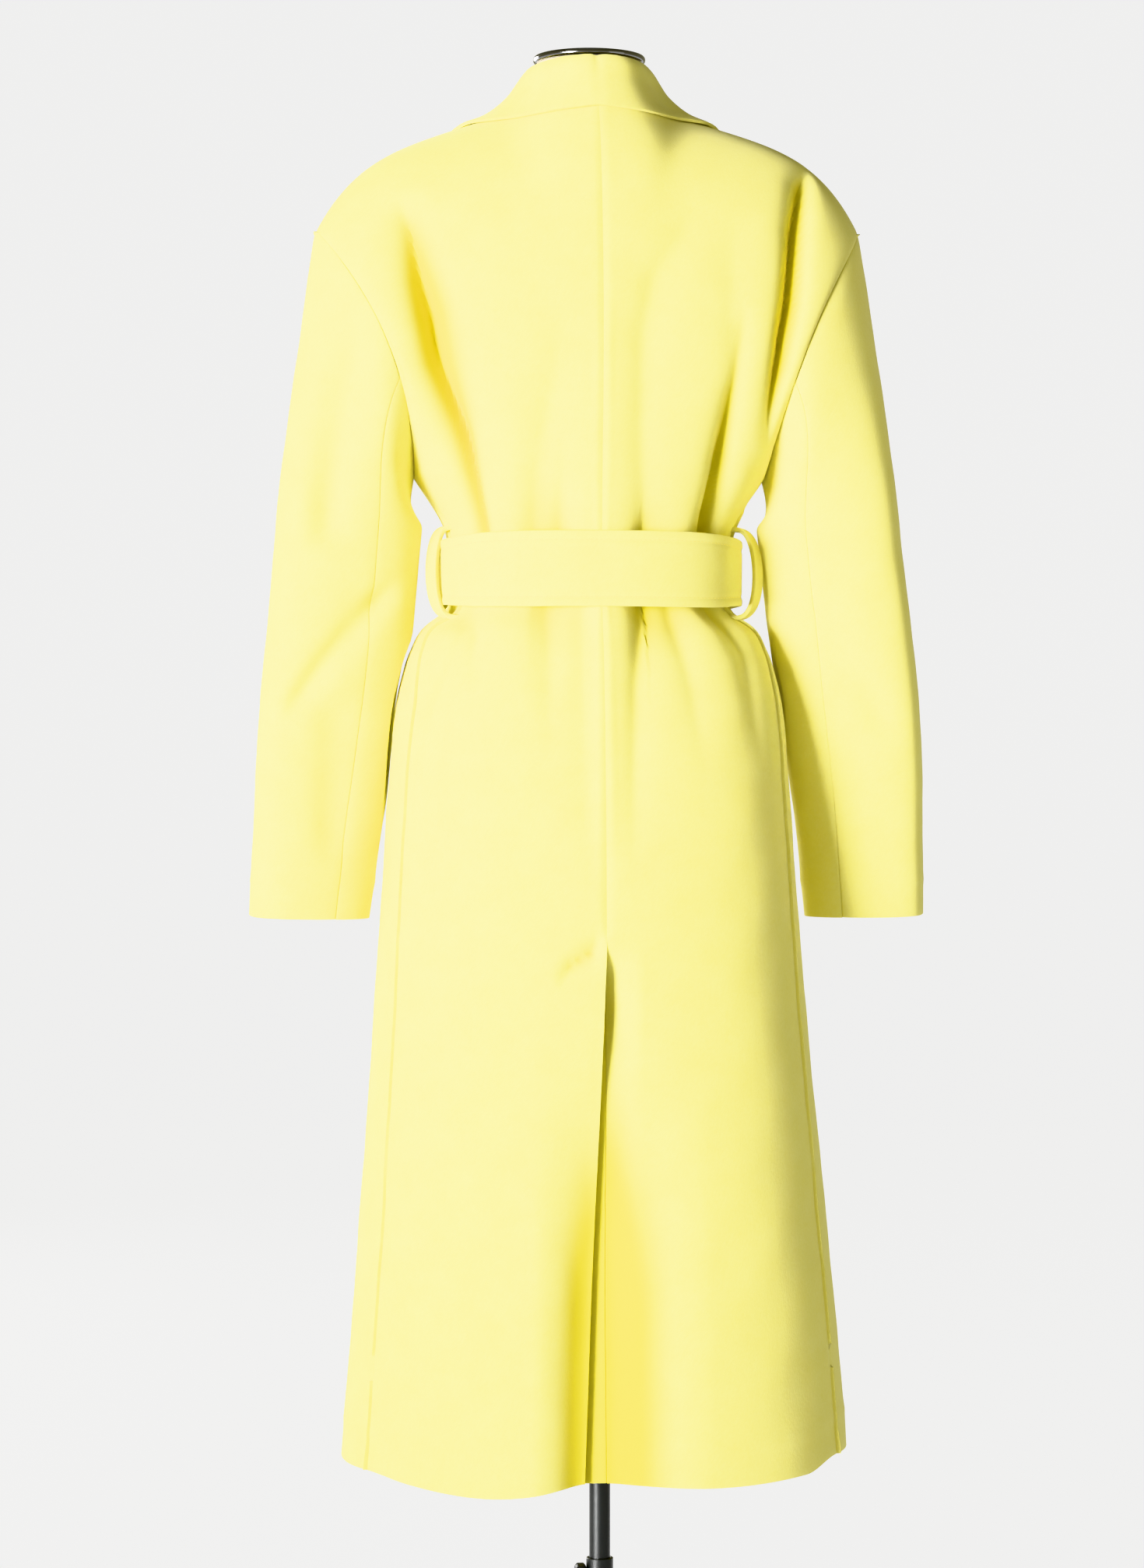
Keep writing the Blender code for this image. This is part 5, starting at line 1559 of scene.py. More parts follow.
    def front_panel(self, side: Side) -> tuple[Array, Array]:
        """Shapes one front.

        Args:
            side: The front's side.

        Returns:
            Its outer points and the depth of its troughs.
        """
        lower, lower_angle = self.front_lower()
        upper, upper_angle = self.front_upper(side)
        points = np.concatenate([lower, upper])
        angle = np.concatenate([lower_angle, upper_angle])
        normal = facing(points, from_axis(points))
        hold = self.hold(points)
        z = points[..., 2]
        folds = ring_fold_depth(FRONT_FOLDS, side, z, angle, self.fold_fade) * hold
        folds = folds + self.back_depth(side, points)[0] * hold * ramp(0.0, self.side_wrap, points[..., 1])
        depth = folds + self.seams(points, False) + drift(points, self.drift_size) * hold
        depth = depth - self.hem_ridge(points)
        lift = self.hem_lift.of(side)
        if side is LEFT:
            depth = depth + ring_fold_depth(FRONT_FOLDS, RIGHT, z, -angle, self.fold_fade)
            past_edge = angle + angle[:, :1]
            under = 1 - ramp(*self.wrap_blend_deg, past_edge)
            chest = ramp(self.belt_low, self.break_point, z)
            depth = depth + mix(self.under_wrap_inset_skirt, self.under_wrap_inset, chest) * under
            over = 1 - ramp(*self.wrap_hem_deg, past_edge)
            lift = mix(lift, self.hem_lift.right + CLOTH, over)
        moved = points - normal * depth[..., None]
        moved[..., 2] += lift * self.near_hem(points)
        moved[..., 0] *= side.value
        return self.flared(moved), folds

    def shape_panels(self, side: Side) -> None:
        """Works out one side's back and front, joined along the side seam.

        Args:
            side: The panels' side.
        """
        back, back_folds = self.back_panel(side)
        front, front_folds = self.front_panel(side)
        lower = slice(0, self.first_upper + 1)
        columns = front.shape[1]
        reach = self.side_join * self.cell
        near = ramp(0.0, reach, np.arange(columns) - (columns - 1 - reach))
        front[lower] += (back[lower, -1] - front[lower, -1])[:, None, :] * near[None, :, None]
        for part, points, folds in (("back", back, back_folds), ("front", front, front_folds)):
            self.outer[side.node(part)] = points
            # Painted shade share of the panel's folds.
            self.crease[side.node(part)] = self.deep_share(folds)

    def sleeve_ring(self, side: Side, height: float, angle: Array) -> Array:
        """One slanted, flattened oval of a sleeve, unmirrored, leaning a little with the sleeve's axis.

        Args:
            side: The sleeve's side.
            height: The oval's height.
            angle: Places round it.

        Returns:
            Points of the oval.
        """
        table = np.array(SLEEVE_SECTIONS)[::-1]
        section = SleeveSection(*smooth_curve(table[:, 0], table, np.array([height]))[0])
        middles = table[:, [1, 2, 0]]
        around = np.clip([height - self.axis_step, height + self.axis_step], table[0, 0], table[-1, 0])
        low, high = smooth_curve(table[:, 0], middles, around)
        axis = unit(low - high) * self.ring_lean
        axis[2] -= 1 - self.ring_lean
        axis = unit(axis)
        slant = math.radians(section.slant_deg - self.sleeve_turn_deg.of(side))
        outward = np.array([math.cos(slant), -math.sin(slant), 0.0])
        outward = unit(outward - axis * outward.dot(axis))
        backward = np.cross(outward, axis)
        backward *= math.copysign(1.0, backward[1])
        middle = np.array([section.x, section.y, section.height])
        wide = signed_power(np.cos(angle), self.sleeve_edge_power)[:, None] * outward * section.half_width
        deep = signed_power(np.sin(angle), self.sleeve_face_power)[:, None] * backward * section.half_depth
        return middle + wide + deep

    def sleeve_base(self, side: Side, angle: Array) -> Array:
        """Rings of a sleeve, unmirrored.

        Args:
            side: The sleeve's side.
            angle: Places round it.

        Returns:
            Rows of points from the armhole down to the cuff.
        """
        start = self.armhole(side, angle)
        start_way = loop_through(HEAD_WAYS, angle) * self.head_pull
        first = SLEEVE_SECTIONS[0].height
        end = self.sleeve_ring(side, first, angle)
        below = self.sleeve_ring(side, first - 2 * self.axis_step, angle)
        reach = np.linalg.norm(end - start, axis=1, keepdims=True)
        end_way = unit(below - end) * reach * self.head_arrive
        rings = []
        for share in np.linspace(0.0, 1.0, self.head_rings * self.cell, endpoint=False):
            rise = ramp(0.0, 1.0, share)
            leave = share * (1 - share) ** 2
            arrive = share * share * (share - 1)
            rings.append(start * (1 - rise) + end * rise + start_way * leave + end_way * arrive)
        for height in np.linspace(first, SLEEVE_SECTIONS[-1].height, self.sleeve_rings * self.cell):
            rings.append(self.sleeve_ring(side, height, angle))
        return np.array(rings)

    def clear_of_body(self, points: Array) -> Array:
        """A sleeve pressed outward wherever it would come too near the body.

        Args:
            points: The sleeve's points, unmirrored.

        Returns:
            The moved points.
        """
        z = np.minimum(points[..., 2], self.underarm)
        section = Section(*(column.reshape(z.shape) for column in section_at(z.ravel())))
        depth = np.where(points[..., 1] >= 0, section.back, section.front) + self.sleeve_body_gap
        share = np.abs(points[..., 1] / depth) ** section.squareness
        rounding = np.clip(1 - share, 0, None) ** (1 / section.squareness)
        need = (section.half_width + self.sleeve_body_gap) * rounding
        hanging = ramp(0.0, self.underarm_ease, self.underarm - points[..., 2])
        moved = points.copy()
        moved[..., 0] += np.clip(need - points[..., 0], 0, None) * hanging
        return moved

    def shape_sleeve(self, side: Side) -> None:
        """Works out one sleeve with its troughs, seams and cuff, kept just clear of the body.

        Args:
            side: The sleeve's side.
        """
        angle = np.linspace(0.0, 2 * math.pi, 2 * self.half_round + 1)
        points = self.sleeve_base(side, angle)
        normal = facing(points, points - points.mean(axis=1, keepdims=True))
        z = points[..., 2]
        degrees = np.broadcast_to(np.degrees(angle)[None, :], z.shape)
        folds = ring_fold_depth(SLEEVE_FOLDS, side, z, degrees, self.fold_fade)
        around = run_lengths(points, 1)
        down = run_lengths(points, 0)
        depth = folds + self.seam_dip * hump(down, self.seam_width)
        for seam_deg in (self.hind_seam_deg, self.fore_seam_deg):
            column = self.seam_column(seam_deg)
            depth += self.seam_dip * hump(around - around[:, column : column + 1], self.seam_width)
        depth -= self.hem_print * hump(down[-1:] - down - self.hem_fold, self.hem_print_width)
        depth += drift(points, self.drift_size) * ramp(0.0, self.sleeve_drift_reach, down)
        points = points - normal * depth[..., None]
        swing = ramp(0.0, self.sleeve_swing_reach, self.sleeve_swing_top - z)
        points[..., 0] += self.sleeve_swing.of(side) * swing
        points = self.clear_of_body(points)
        points[..., 0] *= side.value
        points[:, -1] = points[:, 0]
        self.outer[side.node("sleeve")] = points
        # Painted shade share of the sleeve's folds.
        self.crease[side.node("sleeve")] = self.deep_share(folds)

    def deep_share(self, folds: Array) -> Array:
        """How much painted shade each point gets, from 0 to 1, by how deep in a fold it lies."""
        return ramp(self.painted_shade_start, self.painted_shade_full, folds)

    def close_seams(self) -> None:
        """Brings the edges of neighbouring panels together along all seams."""
        first = self.first_upper
        start = self.neck_column
        for side in SIDES:
            back = self.outer[side.node("back")]
            front = self.outer[side.node("front")]
            shoulder = (back[-1, start:] + front[-1]) / 2
            pull_edge(back[::-1, start:], shoulder, self.cell)
            pull_edge(front[::-1], shoulder, self.cell)
            hole = np.concatenate([back[:first:-1, -1], front[first:, -1]])
            pull_edge(self.outer[side.node("sleeve")], hole, 2 * self.cell)
        left, right = (self.outer[side.node("back")].swapaxes(0, 1) for side in SIDES)
        above = self.above_vent(self.vent_edge_fade, left[0, :, 2])[:, None]
        middle = (left[0] + right[0]) / 2
        for edge in (left, right):
            pull_edge(edge, mix(edge[0], middle, above), self.cell)

    def find_normals(self) -> None:
        """Works out the direction out of the cloth at all points."""
        for side in SIDES:
            for node in (side.node("back"), side.node("front")):
                self.normal[node] = facing(self.outer[node], from_axis(self.outer[node]))
            ring = self.outer[side.node("sleeve")]
            wrapped = np.concatenate([ring[:, -3:-1], ring, ring[:, 1:3]], axis=1)
            hint = wrapped - ring.mean(axis=1, keepdims=True)
            self.normal[side.node("sleeve")] = facing(wrapped, hint)[:, 2:-2]

    def seam_column(self, degrees: float) -> int:
        """The sleeve's grid column at an angle round it."""
        return round(degrees / HALF_TURN_DEG * self.half_round)

    def join_seams(self) -> None:
        """Shares offset directions along all seams, so that the shells meet without a gap."""
        count = self.half_round
        first = self.first_upper
        start = self.neck_column
        lower = slice(0, first + 1)
        for side in SIDES:
            back = self.normal[side.node("back")]
            front = self.normal[side.node("front")]
            ring = self.normal[side.node("sleeve")]
            back[first:, -1], turned_ring = mitre(back[first:, -1], ring[0, count::-1])
            ring[0, count::-1] = turned_ring
            front[first + 1 :, -1], ring[0, count + 1 :] = mitre(front[first + 1 :, -1], ring[0, count + 1 :])
            front[-1, -1] = back[-1, -1]
            ring[0, -1] = ring[0, 0]
            back[lower, -1], front[lower, -1] = mitre(back[lower, -1], front[lower, -1])
            back[-1, start:-1], front[-1, :-1] = mitre(back[-1, start:-1], front[-1, :-1])
        left, right = (self.normal[side.node("back")] for side in SIDES)
        left[:, 0], right[:, 0] = mitre(left[:, 0], right[:, 0])

    def hem_thickness(self, rise: Array) -> Array:
        """The wall's thickness at a rise above the edge, a little more where the edge is turned up."""
        return CLOTH + self.hem_swell * (1 - ramp(0.0, self.hem_fold, rise))

    def build(self) -> None:
        """Builds all panels."""
        hind = self.seam_column(self.hind_seam_deg)
        fore = self.seam_column(self.fore_seam_deg)
        top = list(range(fore, 2 * self.half_round)) + list(range(0, hind + 1))
        halves = (("sleeve_top", top), ("sleeve_under", list(range(hind, fore + 1))))
        for side in SIDES:
            panels = [side.node("back"), side.node("front")]
            for node in panels:
                points = self.outer[node]
                deep = self.hem_thickness(points[..., 2] - points[:1, :, 2])
                self.maker.sew(
                    node, points, self.normal[node], Held.HUNG, ["form_torso"], deep, self.crease[node]
                )
            ring = side.node("sleeve")
            for part, columns in halves:
                points = self.outer[ring][:, columns]
                deep = self.hem_thickness(run_lengths(points[::-1], 0)[::-1])
                ways = self.normal[ring][:, columns]
                # Painted fold shade of this half of the sleeve.
                shade = self.crease[ring][:, columns]
                self.maker.sew(side.node(part), points, ways, Held.HUNG, panels, deep, shade)
        self.build_underlap()

    def build_underlap(self) -> None:
        """Builds the vent's underlap, carried on from the right back's free edge under the left back."""
        keep = self.outer["back_right"][:, 0, 2] < self.underlap_top
        edge = self.outer["back_right"][keep, 0]
        ways = self.normal["back_right"][keep, 0]
        across = np.linspace(0.0, self.underlap_width, self.underlap_columns)
        points = np.repeat(edge[:, None, :], len(across), axis=1)
        points[..., 0] += across[None, :]
        section = section_at(edge[:, 2])
        power = section.squareness[:, None]
        bend = (across[None, :] / section.half_width[:, None]) ** power / power
        points[..., 1] -= section.back[:, None] * bend
        normals = np.repeat(ways[:, None, :], len(across), axis=1)
        # Painted shade: the whole underlap is painted darker, as it lies in the vent's shadow.
        self.maker.sew(
            "vent_underlap", points, normals, Held.HUNG, ["back_right"], crease=self.underlap_crease
        )


@dataclass
class Collar:
    """The turned-down collar: up the stand, over the roll and down the fall."""

    body: CoatBody
    stations: tuple[CollarStation, ...] = (
        CollarStation(0.00, 0.0370, 0.0150, 0.0010),
        CollarStation(0.30, 0.0370, 0.0112, -0.0015),
        CollarStation(0.55, 0.0370, 0.0160, -0.0050),
        CollarStation(0.75, 0.0250, 0.0100, -0.0020),
        CollarStation(1.00, 0.0110, 0.0020, 0.0000),
    )
    columns: int = 44
    steps: int = 44
    shoulder_share: float = 0.55
    edge_nape: float = 1.504
    edge_shoulder_x: float = 0.108
    front_v: float = 0.700
    front_reach: float = 0.42
    roll_radius: float = 0.0032
    lift: float = 0.0008
    fall_shares: tuple[float, ...] = (0.36, 0.70, 1.0)
    stand_lift: float = 0.0026
    edge_swell: float = 0.0007
    edge_reach: float = 0.009
    crest_share: float = 0.42
    drift_size: float = 0.0006
    drift_reach: float = 0.02

    def half(self, side: Side) -> tuple[Array, Array, Array, Array, Array]:
        """One half of the collar, nape to front end.

        Args:
            side: The half's side.

        Returns:
            Neckline, roll, bulge, and points and normals of what lies under the fall.
        """
        body = self.body
        shares = np.linspace(0.0, 1.0, self.columns + 1)
        table = np.array(self.stations)
        station = CollarStation(*smooth_curve(table[:, 0], table, shares).T)
        last_row = body.first_upper + body.half_round
        seam_x = SHOULDER_POINTS[side].x * np.sin(body.column_angles(side)[1])
        shoulder_column = np.interp(self.edge_shoulder_x, seam_x, np.arange(len(seam_x)))
        edge_shoulder = float(body.shoulder_height(side, np.float64(self.edge_shoulder_x)))
        upper_rows = np.arange(last_row - body.half_round // 2, last_row + 1)
        neck = body.neck_column
        base = np.empty((len(shares), 3))
        lying = np.empty((len(shares), len(self.fall_shares), 3))
        ways = np.empty_like(lying)
        for index, share in enumerate(shares):
            if share <= self.shoulder_share:
                panel = side.node("back")
                run = share / self.shoulder_share
                foot = np.array([last_row, run * neck])
                edge_z = mix(edge_shoulder, self.edge_nape, (1 - run) ** 2)
                edge_column = run * (neck + shoulder_column)
                column_z = [grid_at(body.outer[panel], row, edge_column)[2] for row in upper_rows]
                edge = np.array([np.interp(edge_z, column_z, upper_rows), edge_column])
            else:
                panel = side.node("front")
                run = (share - self.shoulder_share) / (1 - self.shoulder_share)
                row = last_row - body.half_round * (1 - self.front_v) * run
                foot = np.array([row, 0.0])
                front_column = self.front_reach * body.shoulder_columns * body.cell
                edge = np.array([row, shoulder_column * (1 - run) + front_column * run])
            base[index] = grid_at(body.outer[panel], *foot)
            for step, fall in enumerate(self.fall_shares):
                place = mix(foot, edge, fall)
                lying[index, step] = grid_at(body.outer[panel], *place)
                ways[index, step] = unit(grid_at(body.normal[panel], *place))
        away = unit(from_axis(base))
        roll = base + UP * station.rise[:, None] - away * station.lean[:, None]
        return base, roll, station.bulge[:, None], lying, ways

    def build(self) -> None:
        """Builds the collar as one shell."""
        halves = zip(*(self.half(side) for side in SIDES))
        base, roll, bulge, lying, ways = [np.concatenate([right[:0:-1], left]) for left, right in halves]
        away = unit(from_axis(base))
        stand_foot = base + UP * self.stand_lift
        stand_top = roll - UP * self.roll_radius
        fall_top = stand_top + away * 2 * self.roll_radius
        edge = lying[:, -1] + ways[:, -1] * (CLOTH + self.lift)
        path = [stand_foot, (stand_foot + stand_top) / 2, stand_top, roll + away * self.roll_radius, fall_top]
        for step, fall in enumerate(self.fall_shares):
            point = mix(fall_top, edge, fall) + (away + UP) * bulge * math.sin(math.pi * fall)
            height = np.sum((point - lying[:, step]) * ways[:, step], axis=1, keepdims=True)
            path.append(point + ways[:, step] * np.clip(CLOTH + self.lift - height, 0, None))
        points = self.refined(np.stack(path, axis=1))
        normals = facing(points, np.broadcast_to(UP, points.shape))
        crest = int(self.crest_share * self.steps)
        if np.sum(normals[:, crest] * UP) < 0:
            normals = -normals
        run = run_lengths(points, 1)
        from_edge = run[:, -1:] - run
        points = points + normals * (self.edge_swell * hump(from_edge, self.edge_reach))[..., None]
        uneven = drift(points, self.drift_size) * ramp(0.0, self.drift_reach, from_edge)
        points = points - normals * uneven[..., None]
        self.body.maker.sew("collar", points, normals, Held.FOLDED, ALL_PANELS)

    def refined(self, path: Array) -> Array:
        """A smoother path over the collar.

        Args:
            path: Columns of a few points from the stand's foot to the fall's edge.

        Returns:
            The same columns with many points.
        """
        fine = np.empty((path.shape[0], self.steps + 1, 3))
        for index, column in enumerate(path):
            run = line_run(column)
            fine[index] = smooth_curve(run, column, np.linspace(0.0, run[-1], self.steps + 1))
        return fine


@dataclass
class Lapels:
    """The turned-back lapels, made from the fronts' own points."""

    body: CoatBody
    top_v: float = 0.583
    reach: float = 0.44
    tip: float = 0.03
    columns: int = 28
    power: float = 0.75
    lying_gap: float = 0.0020
    start_height: float = 1.152

    def build(self) -> None:
        """Builds both lapels."""
        body = self.body
        start = int(np.searchsorted(body.heights, self.start_height))
        stop = body.first_upper + round(self.top_v * body.half_round)
        rows = np.arange(start, stop + 1)
        run = (rows - start) / (stop - start)
        reach = mix(self.tip, self.reach, run**self.power)
        shares = reach[:, None] * np.linspace(0.0, 1.0, self.columns + 1)[None, :]
        for side in SIDES:
            front = side.node("front")
            base = self.read(body.outer[front][rows], shares)
            ways = unit(self.read(body.normal[front][rows], shares))
            points = base + ways * (self.lying_gap + CLOTH)
            body.maker.sew(side.node("lapel"), points, facing(points, ways), Held.FOLDED, [front])

    def read(self, points: Array, shares: Array) -> Array:
        """Points along each grid row at shares of its column count.

        Args:
            points: The grid's rows.
            shares: Shares for each row.

        Returns:
            The points read.
        """
        columns = np.linspace(0.0, 1.0, points.shape[1])
        found = np.empty(shares.shape + (3,))
        for row, part in np.ndindex(points.shape[0], 3):
            found[row, :, part] = np.interp(shares[row], columns, points[row, :, part])
        return found


@dataclass
class Stitching:
    """Rows of short stitches, whose rings have a share of the length, a size and a rise."""

    pitch: float = 0.0042
    length: float = 0.0032
    radius: float = 0.00035
    sunk: float = 0.00010
    sides: int = 6
    rings: tuple[tuple[float, float, float], ...] = (
        (0.0, 0.55, -0.9),
        (0.18, 0.9, -0.1),
        (0.5, 1.0, 0.1),
        (0.82, 0.9, -0.1),
        (1.0, 0.55, -0.9),
    )

    def build(self, name: str, lines: list[tuple[Array, Array]]) -> None:
        """Builds stitches along lines.

        Args:
            name: The piece's name.
            lines: Points along each line, with the normals there.
        """
        builder = bmesh.new()
        for points, normals in lines:
            run = line_run(points)
            for start in np.arange(self.pitch / 2, run[-1] - self.pitch, self.pitch):
                ends = np.array([start, start + self.length])
                first, last = (self.read(run, points, at) for at in ends)
                up = unit(self.read(run, normals, ends.mean()))
                self.stitch(builder, first, last, up)
        place_piece(name, smooth_mesh(name, builder), THREAD)

    def read(self, run: Array, values: Array, at: float) -> Array:
        """Values along a line at a distance run."""
        return np.array([np.interp(at, run, values[:, part]) for part in range(3)])

    def stitch(self, builder: BMesh, first: Array, last: Array, up: Array) -> None:
        """Adds one stitch, thick in its middle and dipping in at both ends.

        Args:
            builder: The mesh that it goes into.
            first: Where it comes out of the cloth.
            last: Where it goes back in.
            up: The direction out of the cloth.
        """
        along = unit(last - first)
        across = np.cross(along, up)
        rings = []
        for share, size, rise in self.rings:
            middle = first + (last - first) * share + up * (rise * self.radius - self.sunk)
            ring = []
            for step in range(self.sides):
                turn = 2 * math.pi * step / self.sides
                spoke = (across * math.cos(turn) + up * math.sin(turn)) * self.radius * size
                ring.append(builder.verts.new(middle + spoke))
            rings.append(ring)
        for low, high in zip(rings, rings[1:]):
            for step in range(self.sides):
                after = (step + 1) % self.sides
                builder.faces.new((low[step], low[after], high[after], high[step]))
        builder.faces.new(rings[0][::-1])
        builder.faces.new(rings[-1])


@dataclass
class Belt:
    """The tie belt: band, knot, hanging ends and loops."""

    body: CoatBody
    stitching: Stitching
    height: float = 1.112
    half_width: float = 0.1275
    back: float = 0.1035
    front: float = 0.1130
    squareness: float = 2.20
    cloth: float = 0.0040
    half_tall: float = 0.0320
    half_tall_side: float = 0.0275
    side_power: float = 6.0
    columns: int = 264
    rows: int = 40
    gap_deg: float = 3.0
    line_inset: float = 0.0080
    line_depth: float = 0.0007
    line_width: float = 0.0016
    edge_puff: float = 0.0005
    puff_share: float = 2.6
    drift_size: float = 0.0005
    knot_x: float = 0.004
    knot_size: Guide = Guide(0.064, 0.034, 0.066)
    knot_squareness: float = 2.8
    knot_segments: tuple[int, int] = (96, 64)
    knot_slant: tuple[float, float] = (0.8, 0.5)
    knot_waist: float = 0.16
    knot_waist_width: float = 0.25
    knot_waist_tall: float = 0.5
    knot_creases: tuple[tuple[float, float], ...] = ((0.62, 0.05), (-0.55, 0.06), (0.95, 0.03))
    knot_crease_bow: float = 0.12
    knot_painted_shade_width: float = 0.07
    ends: tuple[BeltEnd, ...] = (
        BeltEnd(LEFT, 0.024, 0.040, 0.330, 0.052, 0.0125, 0.0033),
        BeltEnd(RIGHT, -0.016, -0.034, 0.360, 0.052, 0.0050, 0.0010),
    )
    end_rows: int = 90
    end_columns: int = 30
    loop_width: float = 0.012
    loop_cloth: float = 0.0040
    loop_gap: float = 0.0018
    loop_half_tall: float = 0.0405
    loop_off: Pair = Pair(0.0035, 0.0100)
    loop_turn_deg: float = 42.0
    loop_steps: int = 48
    loop_columns: int = 8
    seam_gap: float = 0.0003

    def ring(self, angle: Array, height: Array) -> Array:
        """Points of the belt's outer face.

        Args:
            angle: Angles from the middle of the back, towards the left.
            height: Heights.

        Returns:
            The points.
        """
        swing = signed_power(np.sin(angle), 2 / self.squareness)
        turn = np.cos(angle)
        depth = np.where(turn >= 0, self.back, self.front) + self.cloth
        y = depth * signed_power(turn, 2 / self.squareness)
        return grid((self.half_width + self.cloth) * swing, y, height)

    def dressed(self, points: Array, normals: Array, from_edge: Array) -> Array:
        """Sinks the stitched lines and puffs the edges outside them.

        Args:
            points: The strip's points.
            normals: Their normals.
            from_edge: The distance of each point from the nearer long edge.

        Returns:
            The new points.
        """
        middle = self.line_inset / 2
        line = self.line_depth * hump(from_edge - self.line_inset, self.line_width)
        puff = self.edge_puff * hump(from_edge - middle, self.line_inset / self.puff_share)
        uneven = np.clip(drift(points, self.drift_size), -self.drift_size, self.drift_size)
        return points + normals * (puff - line - uneven)[..., None]

    def build(self) -> None:
        """Builds band, knot, ends and loops with their stitching."""
        gap = math.radians(self.gap_deg)
        angle = np.linspace(-math.pi + gap, math.pi - gap, self.columns + 1)
        tall = mix(self.half_tall, self.half_tall_side, np.abs(np.sin(angle)) ** self.side_power)
        level = np.linspace(-1.0, 1.0, self.rows + 1)
        height = self.height + level[:, None] * tall[None, :]
        points = self.ring(np.broadcast_to(angle, height.shape), height)
        normals = facing(points, from_axis(points))
        from_edge = (1 - np.abs(level))[:, None] * tall[None, :]
        points = self.dressed(points, normals, from_edge)
        ways = facing(points, normals)
        self.body.maker.sew("belt", points, ways, Held.STRETCHED, ALL_PANELS, self.cloth)
        lines = []
        places = np.arange(self.rows + 1)
        for sign in (-1.0, 1.0):
            inset = self.height + sign * (tall - self.line_inset)
            rows = np.array([np.interp(inset[c], height[:, c], places) for c in range(len(angle))])
            lines.append(self.line_on(points, normals, rows))
        self.stitching.build("stitches_belt", lines)
        self.build_knot()
        for end in self.ends:
            self.build_end(end)
        for side in SIDES:
            self.build_loop(side)

    def line_on(self, points: Array, normals: Array, rows: Array) -> tuple[Array, Array]:
        """A line across a grid.

        Args:
            points: The grid's points.
            normals: The grid's normals.
            rows: One row place for each column.

        Returns:
            Points along the line, with the normals there.
        """
        line = np.array([grid_at(points, row, column) for column, row in enumerate(rows)])
        ways = np.array([grid_at(normals, row, column) for column, row in enumerate(rows)])
        return line, unit(ways)

    def build_end(self, end: BeltEnd) -> None:
        """Builds one hanging end, laid on the front's form below the knot.

        Args:
            end: The end's measures.
        """
        top = self.height - self.knot_size.z / 2 - self.seam_gap + end.rise
        heights = np.linspace(top - end.length, top, self.end_rows + 1)
        section = section_at(heights)
        across = np.linspace(-0.5, 0.5, self.end_columns + 1) * end.width
        share = (top - heights) / end.length
        x = mix(end.x_top, end.x_bottom, share[:, None]) + across[None, :]
        power = section.squareness[:, None]
        drop = (1 - np.abs(x / section.half_width[:, None]) ** power) ** (1 / power)
        y = -(section.front[:, None] * drop + end.lift + self.cloth)
        points = grid(x, y, heights[:, None])
        normals = facing(points, from_axis(points))
        from_side = np.broadcast_to(end.width / 2 - np.abs(across), x.shape)
        from_edge = np.minimum(from_side, (heights - heights[0])[:, None])
        points = self.dressed(points, normals, from_edge)
        node = end.side.node("belt_end")
        self.body.maker.sew(node, points, facing(points, normals), Held.HUNG, ["belt_knot"], self.cloth)
        lines = []
        for place in (self.line_inset, end.width - self.line_inset):
            columns = np.full(self.end_rows + 1, place / end.width * self.end_columns)
            lines.append(self.line_on(points.swapaxes(0, 1), normals.swapaxes(0, 1), columns))
        self.stitching.build("stitches_" + node, lines)

    def build_knot(self) -> None:
        """Builds the knot: a wad of wrapped belt with slanting creases."""
        builder = bmesh.new()
        around, upright = self.knot_segments
        bmesh.ops.create_uvsphere(builder, u_segments=around, v_segments=upright, radius=1.0)
        middle_y = -(self.front + self.cloth + self.seam_gap + self.knot_size.y / 2)
        for vert in builder.verts:
            x, y, z = (float(signed_power(part, 2 / self.knot_squareness)) for part in vert.co)
            slant = x * self.knot_slant[0] + z * self.knot_slant[1]
            pinch = 1 - self.knot_waist * hump(slant, self.knot_waist_width)
            for place, depth in self.knot_creases:
                pinch -= depth * hump(slant - place + self.knot_crease_bow * z**2, self.knot_painted_shade_width)
            vert.co.x = self.knot_x + x * self.knot_size.x / 2
            vert.co.y = middle_y + y * self.knot_size.y / 2 * (pinch if y < 0 else 1)
            vert.co.z = self.height + z * self.knot_size.z / 2 * (1 - self.knot_waist_tall * (1 - pinch))
        made = place_piece("cloth_belt_knot", smooth_mesh("cloth_belt_knot", builder), WOOL)
        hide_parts("belt_knot")

    def build_loop(self, side: Side) -> None:
        """Builds one belt loop: a strip from the side seam's own points, bowed out round the belt.

        Args:
            side: The loop's side.
        """
        turn = np.linspace(-math.pi / 2, math.pi / 2, self.loop_steps + 1)
        heights = self.height + self.loop_half_tall * np.sin(turn)
        bowed = np.sqrt(np.clip(np.cos(turn), 0, None))[:, None]
        across = np.linspace(-0.5, 0.5, self.loop_columns + 1)[None, :] * self.loop_width
        face_turn = math.radians(self.loop_turn_deg) * bowed
        back = side.node("back")
        seam = self.body.outer[back][: self.body.first_upper, -1]
        way = self.body.normal[back][: self.body.first_upper, -1]
        foot = seam + way * (self.loop_cloth + self.loop_gap)
        ends = np.array([heights[0], heights[-1]])
        foot_x = np.interp(ends, foot[:, 2], side.value * foot[:, 0])
        foot_y = np.interp(ends, foot[:, 2], foot[:, 1])
        run = ((heights - ends[0]) / (ends[1] - ends[0]))[:, None]
        rest_x = mix(foot_x[0], foot_x[1], run)
        outer_x = self.half_width + self.cloth + self.loop_off.of(side) + self.loop_cloth
        points = np.empty((len(turn), self.loop_columns + 1, 3))
        points[..., 0] = mix(rest_x, outer_x, bowed) - across * np.sin(face_turn)
        points[..., 1] = mix(foot_y[0], foot_y[1], run) + across * np.cos(face_turn)
        points[..., 2] = heights[:, None]
        points[..., 0] *= side.value
        ways = facing(points, from_axis(points))
        self.body.maker.sew(
            side.node("belt_loop"), points, ways, Held.HUNG, [side.node("front")], self.loop_cloth
        )


